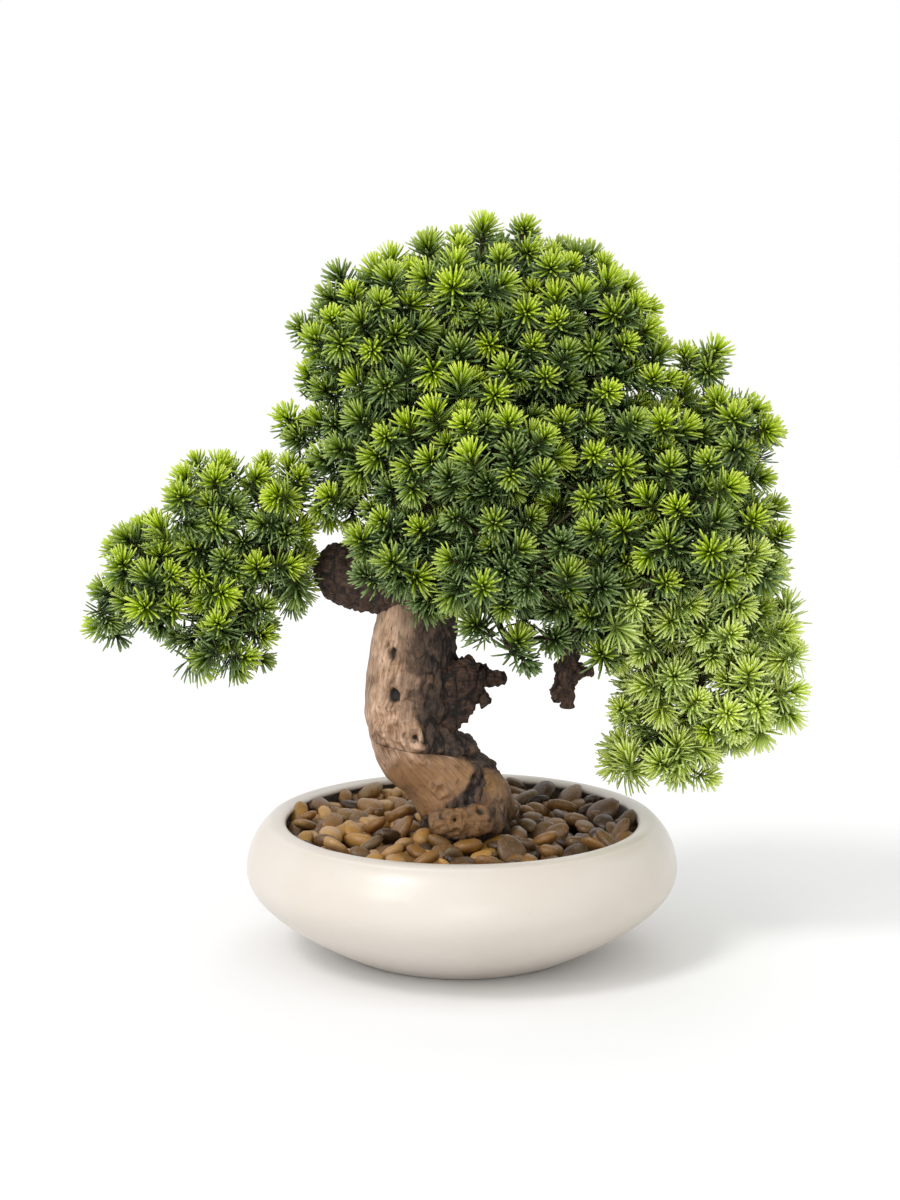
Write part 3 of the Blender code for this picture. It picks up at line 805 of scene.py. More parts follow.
@dataclass
class Wood:
    """A length of wood swept along a line, with ridges, lumps and knots."""

    name: str
    knots: tuple[tuple[float, float, float, float], ...]
    rows: int = 60
    sides: int = 48
    lump: float = 0.0022
    lump_size: float = 0.028
    rugged: float = 0.0012
    ridge: float = 0.0006
    ridge_count: int = 11
    twist: float = 1.2
    end: End = End.FLAT
    rind: Rind = Rind.ALL
    span: tuple[float, float] = (0.0, 1.0)
    eyes: tuple[Knot, ...] = ()
    seed: int = 3

    def bark(self, points: Array) -> Array:
        """How much dark bark covers each point, 0 to 1, with a ragged edge from noise."""
        ragged = clouds(points * np.array([1, 1, 0.45]), 0.012, 3, 77)
        if self.rind is Rind.ALL:
            return np.full(points.shape[:-1], 1.0)
        if self.rind is Rind.PATCHES:
            return np.clip(0.44 + 0.65 * clouds(points, 0.014, 3, 78), 0, 1)
        if self.rind is Rind.UPPER:
            edge, soft = -0.0385, 0.020
        else:
            edge, soft = 0.0090 - 1.05 * np.clip(0.148 - points[..., 2], 0.0, 1.0), 0.007
        behind = np.clip(points[..., 1] / 0.012, 0, 3) * 0.5
        side = (points[..., 0] - edge) / soft + behind + 0.7 * ragged
        return np.clip(0.5 + 0.5 * side, 0, 1)

    def surface(self) -> tuple[Array, Array, Array, Array]:
        """Work out the skin.

        At place v along the line and angle u round it, the skin lies at the radius there
        plus lumps from noise, plus ridges that wind round as v grows, plus each knot's
        raised ring, less its eye.  Barked places get rougher lumps as well.

        Returns:
            Points (rows, sides, 3), UV (rows, sides, 2), painted shade of the hollows, and bark
            (rows, sides).
        """
        line = through(np.array(self.knots), self.rows)
        steps = np.linalg.norm(np.diff(line[:, :3], axis=0), axis=1)
        length = np.concatenate([[0], np.cumsum(steps)])
        first, second = across(line[:, :3])
        kept = slice(int(self.span[0] * self.rows), max(2, int(round(self.span[1] * self.rows))))
        middle, radius, length = line[kept, :3], line[kept, 3], length[kept]
        first, second = first[kept], second[kept]
        if self.end is End.BLUNT:
            t = np.clip((length - length[-1]) / (radius[-1] * 1.25) + 1.0, 0.0, 1.0)
            radius = radius * np.sqrt(np.clip(1.0 - t ** 2, 0.0, 1.0) * 0.96 + 0.04 * (1.0 - t))
        u = np.arange(self.sides) / self.sides * TAU
        out = (first[:, None] * np.cos(u)[None, :, None]
               + second[:, None] * np.sin(u)[None, :, None])
        bare = middle[:, None] + out * radius[:, None, None]
        bark = self.bark(bare)
        winding = u[None] * self.ridge_count + (length / 0.05 * self.twist)[:, None]
        wobble = lattice(bare / 0.03, self.seed + 20) * 2.2
        ridges = np.abs(np.sin(winding * 0.5 + wobble)) ** 0.6 - 0.6
        push = self.lump * clouds(bare, self.lump_size, 4, self.seed) + self.ridge * ridges
        push += 0.35 * self.ridge * clouds(bare * np.array([1, 1, 0.25]), 0.004, 2, self.seed + 7)
        flakes = clouds(bare * np.array([1, 1, 0.5]), 0.0085, 3, self.seed + 50)
        push += self.rugged * bark * (np.abs(flakes) * 2.4 - 0.7)
        # darkness at the bottom of bark crevices: painted shade
        hollow = self.rugged / 0.0012 * bark * np.clip(0.30 - np.abs(flakes) * 2.0, 0, 0.3)
        for eye in self.eyes:
            gone = (bare - np.array(eye.at)) * np.array([1.0, 0.8, 0.78])
            away = np.linalg.norm(gone, axis=-1) / eye.width
            away = away * (1.0 + 0.40 * lattice(bare / (eye.width * 0.75), self.seed + 60))
            pit = np.exp(-(away / eye.pupil) ** 4)
            raised = np.exp(-((away - 0.62 - 0.7 * eye.pupil) / 0.40) ** 2)
            push += eye.rise * raised - eye.eye * pit
            # each eye's pit is darkened in colour too: painted shade in the hole
            hollow += eye.shade * pit
            bark = bark - eye.bare * bark * np.exp(-(away / 1.5) ** 4)
        fade = np.minimum(1.0, radius / max(radius.max() * 0.35, 1e-4))[:, None]
        points = bare + out * (push * fade)[..., None]
        wide = radius.mean() * TAU * 20
        uv = np.stack([np.broadcast_to(u / TAU * wide, push.shape),
                       np.broadcast_to((length * 20)[:, None], push.shape)], axis=-1)
        return points, uv, hollow, bark

    def meshed(self) -> tuple[Array, list[Array], Array, dict[str, Array]]:
        """Skin with both ends closed.

        Returns:
            Points, faces, UV, and the painted shade of the hollows and the bark, all flat.
        """
        points, uv, hollow, bark = self.surface()
        faces = closed_faces(*points.shape[:2])
        ends = np.stack([points[0].mean(axis=0), points[-1].mean(axis=0)])
        flat = np.vstack([points.reshape(-1, 3), ends])
        uv = np.vstack([uv.reshape(-1, 2), uv[0, 0], uv[-1, 0]])
        numbers = {"hollow": np.append(hollow.reshape(-1), [0.0, 0.0]),
                   "bark": np.append(bark.reshape(-1), [bark[0].mean(), bark[-1].mean()])}
        return flat, faces, uv, numbers


def outward(points: Array, faces: list[Array]) -> list[Array]:
    """Turn all faces round if together they enclose a negative volume."""
    volume = 0.0
    for f in faces:
        a, b, c = points[f[:, 0]], points[f[:, 1]], points[f[:, 2]]
        volume += np.einsum("ij,ij->i", a, np.cross(b, c)).sum()
        if f.shape[1] == 4:
            d = points[f[:, 3]]
            volume += np.einsum("ij,ij->i", a, np.cross(c, d)).sum()
    return [f[:, ::-1] for f in faces] if volume < 0 else faces


@dataclass
class Trunk:
    """Two trunk pieces, the curled root, the limbs and the two broken twigs."""

    line: tuple[tuple[float, float, float, float], ...] = (
        (0.0150, 0.000, 0.0740, 0.0330), (0.0060, 0.000, 0.0940, 0.0330),
        (0.0010, 0.000, 0.1140, 0.0345), (-0.0060, 0.000, 0.1320, 0.0362),
        (-0.0185, 0.000, 0.1490, 0.0338), (-0.0330, 0.000, 0.1640, 0.0335),
        (-0.0425, 0.001, 0.1840, 0.0335), (-0.0420, 0.002, 0.2100, 0.0352),
        (-0.0385, 0.002, 0.2420, 0.0348), (-0.0355, 0.001, 0.2730, 0.0320),
        (-0.0330, 0.000, 0.3000, 0.0305), (-0.0290, 0.000, 0.3260, 0.0275),
        (-0.0250, 0.000, 0.3530, 0.0215))
    upper_span: tuple[float, float] = (0.29, 1.0)
    lower_span: tuple[float, float] = (0.0, 0.54)
    run: tuple[float, float, float] = (-0.42, 0.0, 0.907)
    seam_z: float = 0.168
    seam_lean: float = 0.15
    seam_x: float = -0.030
    groove: float = 0.0042
    groove_half: float = 0.0026
    ledge: float = 0.0016
    foot_ledge: float = 0.0012
    ledge_fade: float = 0.006
    tuck: float = 0.012
    eyes: tuple[Knot, ...] = (
        Knot((-0.0560, -0.027, 0.248), 0.0056, 0.0014, 0.0036, 0.8),
        Knot((-0.0600, -0.025, 0.2560), 0.0034, 0.0010, 0.0016, 0.5),
        Knot((-0.0540, -0.030, 0.216), 0.0074, 0.0014, 0.0060),
        Knot((-0.0620, -0.024, 0.196), 0.0070, 0.0030, 0.0012, 0.04),
        Knot((-0.0520, -0.031, 0.187), 0.0060, 0.0026, 0.0014, 0.05, 0.62, 0.8),
        Knot((-0.0640, -0.022, 0.181), 0.0050, 0.0024, 0.0010, 0.04),
        Knot((-0.0378, -0.035, 0.1825), 0.0068, 0.0044, 0.0040, 1.0, 0.30, 1.0),
        Knot((-0.0120, -0.026, 0.1880), 0.0060, 0.0006, 0.0056),
        Knot((-0.0270, -0.034, 0.2060), 0.0060, 0.0016, 0.0016, 0.5),
        Knot((-0.0210, -0.034, 0.2460), 0.0050, 0.0014, 0.0020, 0.6),
        Knot((-0.0172, -0.036, 0.1390), 0.0048, 0.0012, 0.0014, 0.28),
        Knot((0.0100, -0.030, 0.1500), 0.0046, 0.0012, 0.0036))

    def seam(self, points: Array, upper: bool) -> Array:
        """Shape the skin near the seam.

        With h the height above the seam plane, the upper trunk stands out on its right by
        ledge * exp(-|h - 4 mm| / ledge_fade) and the lower one by
        foot_ledge * exp(-|h + 7 mm| / ledge_fade), and both draw in by
        groove * exp(-(h / groove_half)^2).  What crosses the plane is laid on it and drawn
        towards the trunk's middle, by two fifths of the way from a depth of tuck on, so
        that no edge sticks out.

        Args:
            points: Skin, shape (n, 3).
            upper: Whether this is the upper piece.

        Returns:
            The shaped skin.
        """
        lean = unit(np.array([self.seam_lean, 0.0, 1.0]))
        seat = np.array([self.seam_x, 0.0, self.seam_z])
        knots = np.array(self.line)
        h = (points - seat) @ lean
        middle = np.stack([np.interp(points[:, 2], knots[:, 2], knots[:, 0]),
                           np.zeros(len(points)), points[:, 2]], axis=1)
        out = unit(points - middle)
        share = np.clip((points[:, 0] + 0.052) / 0.020, 0, 1)
        wave = 1.0 + 0.5 * clouds(points, 0.014, 2, 41)
        push = -self.groove * share * wave * np.exp(-(h / self.groove_half) ** 2)
        if upper:
            push += self.ledge * share * wave * np.exp(-np.abs(h - 0.004) / self.ledge_fade)
        else:
            push += self.foot_ledge * share * wave * np.exp(-np.abs(h + 0.007) / self.ledge_fade)
        near = np.abs(h) < 0.03
        points = points + out * np.where(near, push, 0.0)[:, None]
        h = (points - seat) @ lean
        beyond = np.where(h < 0, -h, 0.0) if upper else np.where(h > -0.0003, -0.0003 - h, 0.0)
        run = np.array(self.run)
        points = points + (beyond / (run @ lean))[:, None] * run
        heights = (knots[:, :3] - seat) @ lean
        heart = np.array([np.interp(0.0, heights, knots[:, i]) for i in range(3)])
        drawn = np.clip(np.abs(beyond) / self.tuck, 0, 1) * 0.4
        return points + (heart - points) * drawn[:, None]

    def add(self, wood: Wood, finish: bpy.types.Material, slot: str, *nodes: str) -> None:
        """Make one length of wood and put it in place."""
        points, faces, uv, numbers = wood.meshed()
        if wood.name in ("trunk_upper", "trunk_lower"):
            points = self.seam(points, wood.name == "trunk_upper")
        made = piece(wood.name, points, outward(points, faces), finish, uv, numbers=numbers)
        settle(made, "pot_and_trunk", slot, *nodes)

    def build(self) -> None:
        """Make every wooden piece."""
        drift = Driftwood("driftwood").material()
        gnarled = Driftwood("driftwood_root", pale=srgb(156, 116, 76), tan=srgb(114, 84, 56),
                            brown=srgb(76, 55, 38), bark=srgb(68, 51, 39), ochre_z=0.2).material()
        rough = DarkWood("dark_wood").material()
        self.add(Wood("trunk_upper", self.line, rows=560, sides=220, lump=0.0030, lump_size=0.030,
                      rugged=0.0034, ridge=0.0009, twist=0.4, rind=Rind.UPPER, span=self.upper_span,
                      eyes=self.eyes, seed=3), drift, "driftwood", "trunk_main")
        self.add(Wood("trunk_lower", self.line, rows=420, sides=220, lump=0.0030, lump_size=0.030,
                      rugged=0.0034, ridge=0.0009, twist=0.4, rind=Rind.LOWER, span=self.lower_span,
                      eyes=self.eyes, seed=3), drift, "driftwood", "trunk_foot")
        self.root(gnarled)
        self.limbs(drift, rough)
        self.stubs(rough)

    def root(self, finish: bpy.types.Material) -> None:
        """The root that runs down the front right and curls to the left over the pebbles."""
        curl = ((0.0220, -0.012, 0.1490, 0.0080), (0.0240, -0.022, 0.1370, 0.0120),
                (0.0235, -0.031, 0.1230, 0.0138), (0.0160, -0.039, 0.1160, 0.0138),
                (0.0010, -0.045, 0.1165, 0.0138), (-0.0130, -0.046, 0.1145, 0.0122),
                (-0.0250, -0.043, 0.1080, 0.0085))
        eyes = (Knot((-0.0058, -0.0580, 0.1215), 0.0060, 0.0030, 0.0024, 0.8, 0.32, 0.9),
                Knot((0.0150, -0.050, 0.1260), 0.0050, 0.0016, 0.0022, 0.6))
        back = ((0.0220, 0.012, 0.1380, 0.0090), (0.0290, 0.022, 0.1200, 0.0125),
                (0.0330, 0.032, 0.1020, 0.0110), (0.0380, 0.040, 0.0930, 0.0080))
        shared = {"rind": Rind.PATCHES, "end": End.BLUNT}
        self.add(Wood("root_curl", curl, rows=200, sides=110, lump=0.0052, lump_size=0.015,
                      rugged=0.0034, ridge=0.0008, ridge_count=6, twist=0.8, eyes=eyes, seed=14,
                      **shared), finish, "driftwood", "root_knuckle")
        self.add(Wood("root_back", back, rows=70, sides=50, lump=0.0028, lump_size=0.016,
                      rugged=0.0014, ridge=0.0010, seed=15, **shared), finish, "driftwood")

    def limbs(self, drift: bpy.types.Material, rough: bpy.types.Material) -> None:
        """The five limbs."""
        left = ((-0.028, 0.000, 0.297, 0.0240), (-0.050, -0.001, 0.300, 0.0262),
                (-0.074, -0.001, 0.305, 0.0262), (-0.094, 0.000, 0.309, 0.0245),
                (-0.108, 0.000, 0.3120, 0.0225), (-0.119, 0.000, 0.3130, 0.0185))
        crown = ((-0.026, 0.000, 0.338, 0.0165), (-0.018, 0.000, 0.372, 0.0148),
                 (-0.006, 0.002, 0.405, 0.0128), (0.007, 0.002, 0.436, 0.0090))
        right = ((-0.018, 0.002, 0.325, 0.0150), (0.020, 0.010, 0.343, 0.0138),
                 (0.065, 0.008, 0.352, 0.0118), (0.103, 0.000, 0.3590, 0.0085))
        front = ((-0.014, -0.010, 0.287, 0.0130), (0.018, -0.026, 0.294, 0.0118),
                 (0.055, -0.034, 0.297, 0.0098), (0.084, -0.034, 0.290, 0.0075))
        back = ((-0.022, 0.012, 0.309, 0.0125), (-0.004, 0.036, 0.322, 0.0108),
                (0.022, 0.060, 0.338, 0.0075))
        self.add(Wood("limb_left", left, rows=150, sides=110, lump=0.0046, lump_size=0.020,
                      rugged=0.0026, ridge=0.0014, ridge_count=9, end=End.BLUNT, seed=21),
                 rough, "dark_wood", "left_limb")
        self.add(Wood("limb_crown", crown, rows=50, sides=40, lump=0.0018, lump_size=0.016,
                      rind=Rind.PATCHES, seed=25), drift, "driftwood", "crown_limb")
        self.add(Wood("limb_right", right, rows=60, sides=40, lump=0.0022, lump_size=0.014,
                      end=End.BLUNT, seed=27), rough, "dark_wood", "right_limb")
        self.add(Wood("limb_front", front, rows=60, sides=40, lump=0.0018, lump_size=0.013,
                      end=End.BLUNT, seed=29), rough, "dark_wood", "front_limb")
        self.add(Wood("limb_back", back, rows=40, sides=36, lump=0.0016, lump_size=0.013,
                      seed=31), rough, "dark_wood", "back_limb")

    def stubs(self, rough: bpy.types.Material) -> None:
        """The burl with two broken fingers and the hanging twig like a star."""
        fingers = (
            ("stub_burl", "broken_stub", "driftwood", 0.0100,
             ((-0.016, -0.004, 0.222, 0.0205), (0.002, -0.006, 0.2225, 0.0195),
              (0.014, -0.006, 0.2240, 0.0135), (0.020, -0.006, 0.2240, 0.0090))),
            ("stub_foot", "", "driftwood", 0.0080,
             ((-0.024, -0.004, 0.184, 0.0130), (-0.012, -0.005, 0.1960, 0.0150),
              (-0.002, -0.006, 0.2100, 0.0150), (0.004, -0.006, 0.2200, 0.0120))),
            ("stub_upper", "", "driftwood", 0.0080,
             ((0.008, -0.005, 0.229, 0.0100), (0.018, -0.005, 0.2265, 0.0088),
              (0.027, -0.004, 0.2245, 0.0066), (0.0365, -0.003, 0.2230, 0.0058))),
            ("stub_lower", "", "driftwood", 0.0080,
             ((0.004, -0.007, 0.216, 0.0110), (0.013, -0.008, 0.2110, 0.0078),
              (0.0190, -0.008, 0.2070, 0.0062), (0.0235, -0.008, 0.2045, 0.0056))),
            ("stub_knob", "", "driftwood", 0.0060,
             ((0.004, -0.012, 0.234, 0.0080), (0.008, -0.016, 0.2355, 0.0070),
              (0.0120, -0.020, 0.2350, 0.0058))),
            ("twig_down", "hanging_stub", "dark_wood", 0.0080,
             ((0.080, -0.034, 0.292, 0.0070), (0.084, -0.033, 0.270, 0.0076),
              (0.085, -0.032, 0.250, 0.0084), (0.0830, -0.032, 0.234, 0.0100),
              (0.0845, -0.032, 0.218, 0.0060), (0.0855, -0.032, 0.2045, 0.0040))),
            ("twig_right", "", "dark_wood", 0.0060,
             ((0.082, -0.032, 0.2340, 0.0080), (0.092, -0.033, 0.2350, 0.0058),
              (0.1050, -0.033, 0.2335, 0.0036))),
            ("twig_left", "", "dark_wood", 0.0060,
             ((0.083, -0.033, 0.234, 0.0078), (0.077, -0.035, 0.223, 0.0058),
              (0.0725, -0.037, 0.2110, 0.0040))),
            ("twig_front", "", "dark_wood", 0.0060,
             ((0.085, -0.034, 0.238, 0.0070), (0.087, -0.040, 0.236, 0.0052),
              (0.090, -0.046, 0.2350, 0.0034))))
        for i, (name, node, slot, size, line) in enumerate(fingers):
            self.add(Wood(name, line, rows=80, sides=60, lump=0.0042, lump_size=size, rugged=0.0038,
                          ridge=0.0014, ridge_count=7, end=End.BLUNT, seed=33 + 2 * i),
                     rough, slot, *((node,) if node else ()))


# ------------------------------------------------------------------ needles
class Bough(Enum):
    """The body that carries a spray."""

    TRUNK = "pot_and_trunk"
    CROWN = "crown_bough_body"
    RIGHT = "right_bough_body"
    TAIL = "tail_bough_body"
    LEFT = "left_bough_body"


@dataclass
class Spray:
    """One spray of tufts: an egg-shaped cloud, what carries it and where its stem starts."""

    name: str
    bough: Bough
    middle: tuple[float, float, float]
    half: tuple[float, float, float]
    stem: tuple[tuple[float, float, float], ...]
    pale: float = 0.0
    lone: bool = False


CROWN_STEM = ((0.012, 0.002, 0.452), (0.013, 0.001, 0.478))
RIGHT_STEM = ((0.116, 0.000, 0.362), (0.150, 0.000, 0.362))
TAIL_STEM = ((0.196, 0.000, 0.262), (0.196, 0.000, 0.240))
LEFT_STEM = ((-0.128, 0.000, 0.316), (-0.158, 0.000, 0.320))
SPRAYS: tuple[Spray, ...] = (
    Spray("crown_left", Bough.CROWN, (-0.058, 0.000, 0.508), (0.066, 0.078, 0.060), CROWN_STEM),
    Spray("crown_top", Bough.CROWN, (0.012, 0.000, 0.537), (0.072, 0.085, 0.062), CROWN_STEM),
    Spray("crown_right", Bough.CROWN, (0.090, 0.000, 0.518), (0.072, 0.080, 0.058), CROWN_STEM),
    Spray("upper_left", Bough.TRUNK, (-0.062, -0.010, 0.422), (0.055, 0.078, 0.060),
          ((-0.012, 0.000, 0.388),)),
    Spray("upper_front", Bough.TRUNK, (0.018, -0.070, 0.418), (0.075, 0.070, 0.062),
          ((-0.002, 0.000, 0.412),)),
    Spray("upper_back", Bough.TRUNK, (0.012, 0.070, 0.415), (0.090, 0.072, 0.066),
          ((-0.008, 0.002, 0.398),)),
    Spray("lower_left", Bough.TRUNK, (-0.046, -0.062, 0.345), (0.052, 0.052, 0.048),
          ((-0.032, -0.004, 0.316),)),
    Spray("lower_front", Bough.TRUNK, (0.035, -0.080, 0.330), (0.072, 0.065, 0.060),
          ((0.036, -0.031, 0.296),)),
    Spray("lower_back", Bough.TRUNK, (0.020, 0.085, 0.325), (0.085, 0.060, 0.066),
          ((0.016, 0.055, 0.334),)),
    Spray("hanging", Bough.TRUNK, (0.034, -0.074, 0.268), (0.044, 0.044, 0.040),
          ((0.020, -0.027, 0.294),)),
    Spray("right_upper", Bough.RIGHT, (0.172, 0.000, 0.400), (0.070, 0.082, 0.056), RIGHT_STEM),
    Spray("right_front", Bough.RIGHT, (0.165, -0.060, 0.345), (0.068, 0.062, 0.068),
          RIGHT_STEM, 0.25),
    Spray("right_back", Bough.RIGHT, (0.170, 0.060, 0.340), (0.072, 0.062, 0.072), RIGHT_STEM, 0.1),
    Spray("right_end", Bough.RIGHT, (0.217, 0.000, 0.330), (0.047, 0.080, 0.070),
          RIGHT_STEM + ((0.186, 0.000, 0.344),), 0.35),
    Spray("tail_right", Bough.TAIL, (0.222, 0.000, 0.222), (0.056, 0.066, 0.064), TAIL_STEM, 0.8),
    Spray("tail_left", Bough.TAIL, (0.163, -0.002, 0.222), (0.050, 0.062, 0.050), TAIL_STEM, 0.8),
    Spray("tail_tip", Bough.TAIL, (0.166, -0.006, 0.166), (0.052, 0.054, 0.038),
          TAIL_STEM + ((0.188, 0.000, 0.206),), 0.9),
    Spray("left_inner", Bough.LEFT, (-0.150, -0.003, 0.348), (0.040, 0.058, 0.053), LEFT_STEM),
    Spray("left_upper", Bough.LEFT, (-0.198, -0.003, 0.360), (0.045, 0.062, 0.050), LEFT_STEM),
    Spray("left_end", Bough.LEFT, (-0.246, -0.003, 0.305), (0.048, 0.062, 0.058),
          LEFT_STEM + ((-0.192, 0.000, 0.316),), 0.15),
    Spray("left_lower", Bough.LEFT, (-0.192, -0.006, 0.266), (0.054, 0.060, 0.049),
          LEFT_STEM, 0.15),
    Spray("sprig_left", Bough.TRUNK, (-0.137, 0.000, 0.429), (0.023, 0.023, 0.021),
          ((-0.018, 0.000, 0.374), (-0.062, 0.000, 0.420)), lone=True),
    Spray("sprig_right", Bough.CROWN, (0.199, 0.000, 0.482), (0.025, 0.025, 0.022),
          CROWN_STEM + ((0.090, 0.000, 0.500),), lone=True),
)
# clouds of tufts that close the hollows where sprays meet
FILL: tuple[tuple[tuple[float, float, float], tuple[float, float, float]], ...] = (
    ((-0.195, -0.004, 0.312), (0.052, 0.060, 0.050)),
    ((-0.136, -0.006, 0.378), (0.036, 0.050, 0.042)),
    ((-0.098, -0.020, 0.385), (0.036, 0.055, 0.045)),
    ((0.090, -0.045, 0.392), (0.050, 0.060, 0.062)),
    ((0.135, -0.020, 0.425), (0.050, 0.070, 0.060)),
    ((0.120, 0.000, 0.475), (0.050, 0.075, 0.055)),
    ((-0.030, -0.020, 0.465), (0.070, 0.070, 0.060)),
    ((0.055, -0.040, 0.470), (0.070, 0.060, 0.060)),
    ((0.055, 0.040, 0.465), (0.080, 0.060, 0.060)),
    ((0.105, -0.062, 0.335), (0.040, 0.055, 0.060)),
    ((0.105, 0.060, 0.345), (0.050, 0.055, 0.065)),
    ((0.088, -0.060, 0.288), (0.040, 0.042, 0.036)),
    ((0.142, -0.020, 0.266), (0.038, 0.050, 0.038)),
    ((0.112, -0.040, 0.270), (0.032, 0.040, 0.038)),
    ((0.238, 0.000, 0.262), (0.034, 0.046, 0.032)),
    ((-0.022, -0.056, 0.309), (0.036, 0.036, 0.031)),
    ((0.130, -0.006, 0.168), (0.026, 0.032, 0.026)),
    ((-0.279, -0.004, 0.277), (0.025, 0.032, 0.025)),
    ((-0.136, -0.010, 0.313), (0.035, 0.050, 0.042)),
    ((0.206, 0.000, 0.424), (0.046, 0.062, 0.046)),
    ((-0.085, 0.000, 0.500), (0.044, 0.065, 0.055)),
    ((-0.110, 0.000, 0.455), (0.026, 0.040, 0.030)),
    ((0.125, -0.030, 0.300), (0.036, 0.050, 0.045)),
    ((0.192, -0.010, 0.275), (0.060, 0.070, 0.050)),
    ((0.190, -0.004, 0.205), (0.050, 0.060, 0.050)))


@dataclass
class Whorl:
    """A ring of needles: how many, over what angles from the twig, how far back and how long."""

    count: int
    near: float
    far: float
    back_near: float
    back_far: float
    length: float
    age: float


@dataclass
class Tufts:
    """Ends and directions of twigs, with how deep in the foliage each one is."""

    spots: Array
    ways: Array
    depths: Array


